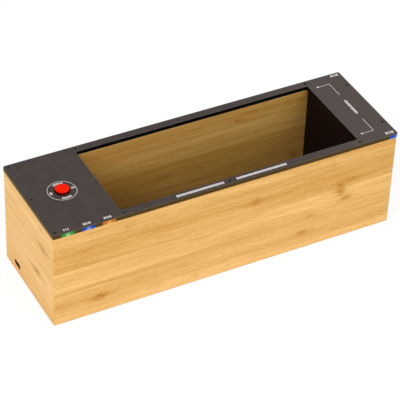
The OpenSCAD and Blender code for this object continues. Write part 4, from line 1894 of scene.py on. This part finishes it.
@dataclass
class StatusLights(SubAssembly):
    """The lit windows in the plate's edge and the light boards behind them."""

    light_depth: float = 1.0 * MM
    corner_tints: tuple[str, str, str] = ("0834A0", "0E58C8", "A4C4F6")

    def build(self) -> None:
        """Puts each window's bright heart where its light sits."""
        tints = {
            "window_green": ("16702A", "28963A", "C4ECB6"),
            "window_blue": ("082E80", "0E4AA6", "A4C4F6"),
            "window_orange": ("9C5220", "C67C26", "FCC860"),
        }
        for name, tint in tints.items():
            low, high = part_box(name)
            light = ((low.x + high.x) / 2, low.y + self.light_depth)
            self.dress(LitWindow(name, *tint, (light,), low.z), name)
        low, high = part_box("corner_windows")
        corner = (high.x - self.light_depth, high.y - self.light_depth)
        lights = tuple((corner[0], side * corner[1]) for side in (-1, 1))
        self.dress(LitWindow("window_corner", *self.corner_tints, lights, low.z), "corner_windows")
        mask = SolderMask("board_green")
        self.dress(mask, "status_light_board", "corner_light_boards", "main_board")
        lens = Moulded(
            "led_lens", tone="F3F0E2", shade="E6E0C8", edge="FFFFFF", roughness=0.25, relief=0.004 * MM
        )
        self.dress(lens, "status_leds", "corner_leds")


@dataclass
class Button(SubAssembly):
    """The red cap, the plunger that it sits on and the switch."""

    def build(self) -> None:
        """Dresses the three pieces."""
        # the cap's finish paints shade down its side and a highlight on its rim
        self.dress(Enamel("cap_red"), "button_cap")
        white = Moulded("plunger_white", tone="EDEBE6", shade="DFDCD4", edge="FFFFFF", roughness=0.45)
        self.dress(white, "switch_plunger")
        self.dress(Moulded("switch_black"), "switch_body")


@dataclass
class Electronics(SubAssembly):
    """The boards, the battery, the charging socket and the wiring."""

    def build(self) -> None:
        """Dresses the inner pieces."""
        self.dress(Moulded("chip_black", tone="1A1A1C", shade="101012", roughness=0.55), "board_chips")
        self.dress(SolderMask("board_blue", tone="0B2E5C", track="17457F"), "charge_board")
        zinc = Metal("zinc_steel", lines=(6000.0, 6000.0, 600.0))
        self.dress(zinc, "board_screws", "speaker_screws")
        lines = (300.0, 8000.0, 8000.0)
        shell = SocketShell("socket_steel", tone="5C5753", shade="484340", lines=lines, oval=socket_oval())
        self.dress(shell, "usb_socket")
        foil = Metal(
            "battery_foil",
            tone="C9CCD2",
            shade="B2B5BC",
            roughness=0.42,
            metallic=0.8,
            lines=(260.0, 240.0, 900.0),
            edge_wear=0.2,
        )
        self.dress(foil, "battery_pack")
        tape = Felt("foam_tape", tone="DEDCD2", shade="CFCCC0", lint="F2F0EA", fibre_scale=4200.0)
        self.dress(tape, "battery_tape")
        ribbon = Moulded(
            "ribbon_grey", tone="93939A", shade="828289", edge="B4B4BA", roughness=0.4, grain_scale=1800.0
        )
        self.dress(ribbon, "signal_ribbon")
        lead = Moulded("lead_red", tone="B81812", shade="9C120D", edge="D64A40", roughness=0.38)
        self.dress(lead, "battery_lead")


@dataclass
class Speaker(SubAssembly):
    """The speaker behind the grille."""

    def build(self) -> None:
        """Dresses the frame, the magnet, the cone, the gasket and the terminals."""
        pressed = Metal(
            "speaker_steel", tone="2B2B2D", shade="1F1F21", edge="5E5E60", roughness=0.4, metallic=0.7
        )
        self.dress(pressed, "speaker_frame")
        plated = Metal("magnet_steel", tone="4C4C50", shade="3C3C40", edge="8A8A8E", roughness=0.45)
        self.dress(plated, "speaker_magnet")
        paper = Felt("cone_paper", tone="222224", shade="161618", lint="38383A", fibre_scale=3400.0)
        self.dress(paper, "speaker_cone")
        foam = Felt("gasket_foam", tone="171717", shade="0C0C0C", lint="2A2A2A", fibre_scale=5200.0)
        self.dress(foam, "speaker_gasket")
        board = SolderMask("terminal_board", tone="7A4E26", track="8E5F31")
        self.dress(board, "speaker_terminals")


@dataclass(frozen=True)
class Lamp:
    """A large soft lamp that faces the box: its place, its width and its power in watts."""

    name: str
    place: tuple[float, float, float]
    width: float
    power: float

    def build(self, aim: Vector) -> None:
        """Hangs the lamp.

        Args:
            aim: The place that it faces.
        """
        data = bpy.data.lights.new(self.name, "AREA")
        data.shape = "SQUARE"
        data.size = self.width
        data.energy = self.power
        lamp = bpy.data.objects.new(self.name, data)
        lamp.location = self.place
        lamp.rotation_euler = (aim - Vector(self.place)).to_track_quat("-Z", "Y").to_euler()
        bpy.context.scene.collection.objects.link(lamp)


@dataclass(frozen=True)
class Studio:
    """A white sweep, an even sky and soft lamps that face the middle of the box."""

    floor_half: float = 4.0
    floor_cells: int = 8
    sky: float = 0.63
    aim: tuple[float, float, float] = (0.0, 0.0, 0.04)
    lamps: tuple[Lamp, ...] = (
        Lamp("lamp_left", (-1.5, -0.7, 1.5), 1.0, 17.0),
        Lamp("lamp_front", (0.6, -1.9, 1.2), 1.2, 12.0),
    )

    def build(self) -> None:
        """Lays the floor, lights the sky and hangs the lamps."""
        self.lay_floor()
        self.light_sky()
        for lamp in self.lamps:
            lamp.build(Vector(self.aim))

    def lay_floor(self) -> None:
        """A flat floor at the height that the box stands on."""
        shape = bmesh.new()
        cells = self.floor_cells
        bmesh.ops.create_grid(shape, x_segments=cells, y_segments=cells, size=self.floor_half)
        mesh = bpy.data.meshes.new("floor")
        shape.to_mesh(mesh)
        shape.free()
        mesh.materials.append(Floor("floor_paper").material())
        floor = bpy.data.objects.new("floor", mesh)
        bpy.context.scene.collection.objects.link(floor)

    def light_sky(self) -> None:
        """An even sky that looks white to the camera and in reflections."""
        world = bpy.data.worlds.new("sky")
        world.use_nodes = True
        bpy.context.scene.world = world
        graph = Graph(world.node_tree)
        strength = graph.ramp(graph.looked_at(), 0.0, 1.0, self.sky, 1.0)
        background = world.node_tree.nodes["Background"]
        graph.fill(background, {"Color": colour("FFFFFF"), "Strength": strength})


@dataclass(frozen=True)
class ProductCamera:
    """A long lens that looks down at the box from its left front. Its angles are degrees."""

    place: tuple[float, float, float] = (-0.5322, -0.9527, 0.9095)
    azimuth: float = -29.136
    elevation: float = 38.707
    roll: float = 2.470
    lens: float = 179.05
    sensor: float = 36.0
    nearest: float = 0.05
    farthest: float = 20.0

    def build(self) -> None:
        """Adds the camera and makes it the scene's own."""
        data = bpy.data.cameras.new("camera")
        data.sensor_width = self.sensor
        data.lens = self.lens
        data.clip_start = self.nearest
        data.clip_end = self.farthest
        camera = bpy.data.objects.new("camera", data)
        turn = Matrix.Rotation(math.radians(self.azimuth), 4, "Z")
        tilt = Matrix.Rotation(math.radians(90.0 - self.elevation), 4, "X")
        roll = Matrix.Rotation(math.radians(self.roll), 4, "Z")
        camera.matrix_world = Matrix.Translation(self.place) @ turn @ tilt @ roll
        bpy.context.scene.collection.objects.link(camera)
        bpy.context.scene.camera = camera


def main() -> None:
    """Builds the sub-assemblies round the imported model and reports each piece."""
    logging.basicConfig(level=logging.INFO, format="%(message)s")
    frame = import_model()
    bpy.context.scene.view_settings.view_transform = "Standard"
    ProductCamera().build()
    Studio().build()
    for assembly in (Case, Well, TopPlate, PlatePrint, StatusLights, Button, Electronics, Speaker):
        assembly(frame).build()


if __name__ == "__main__":
    main()
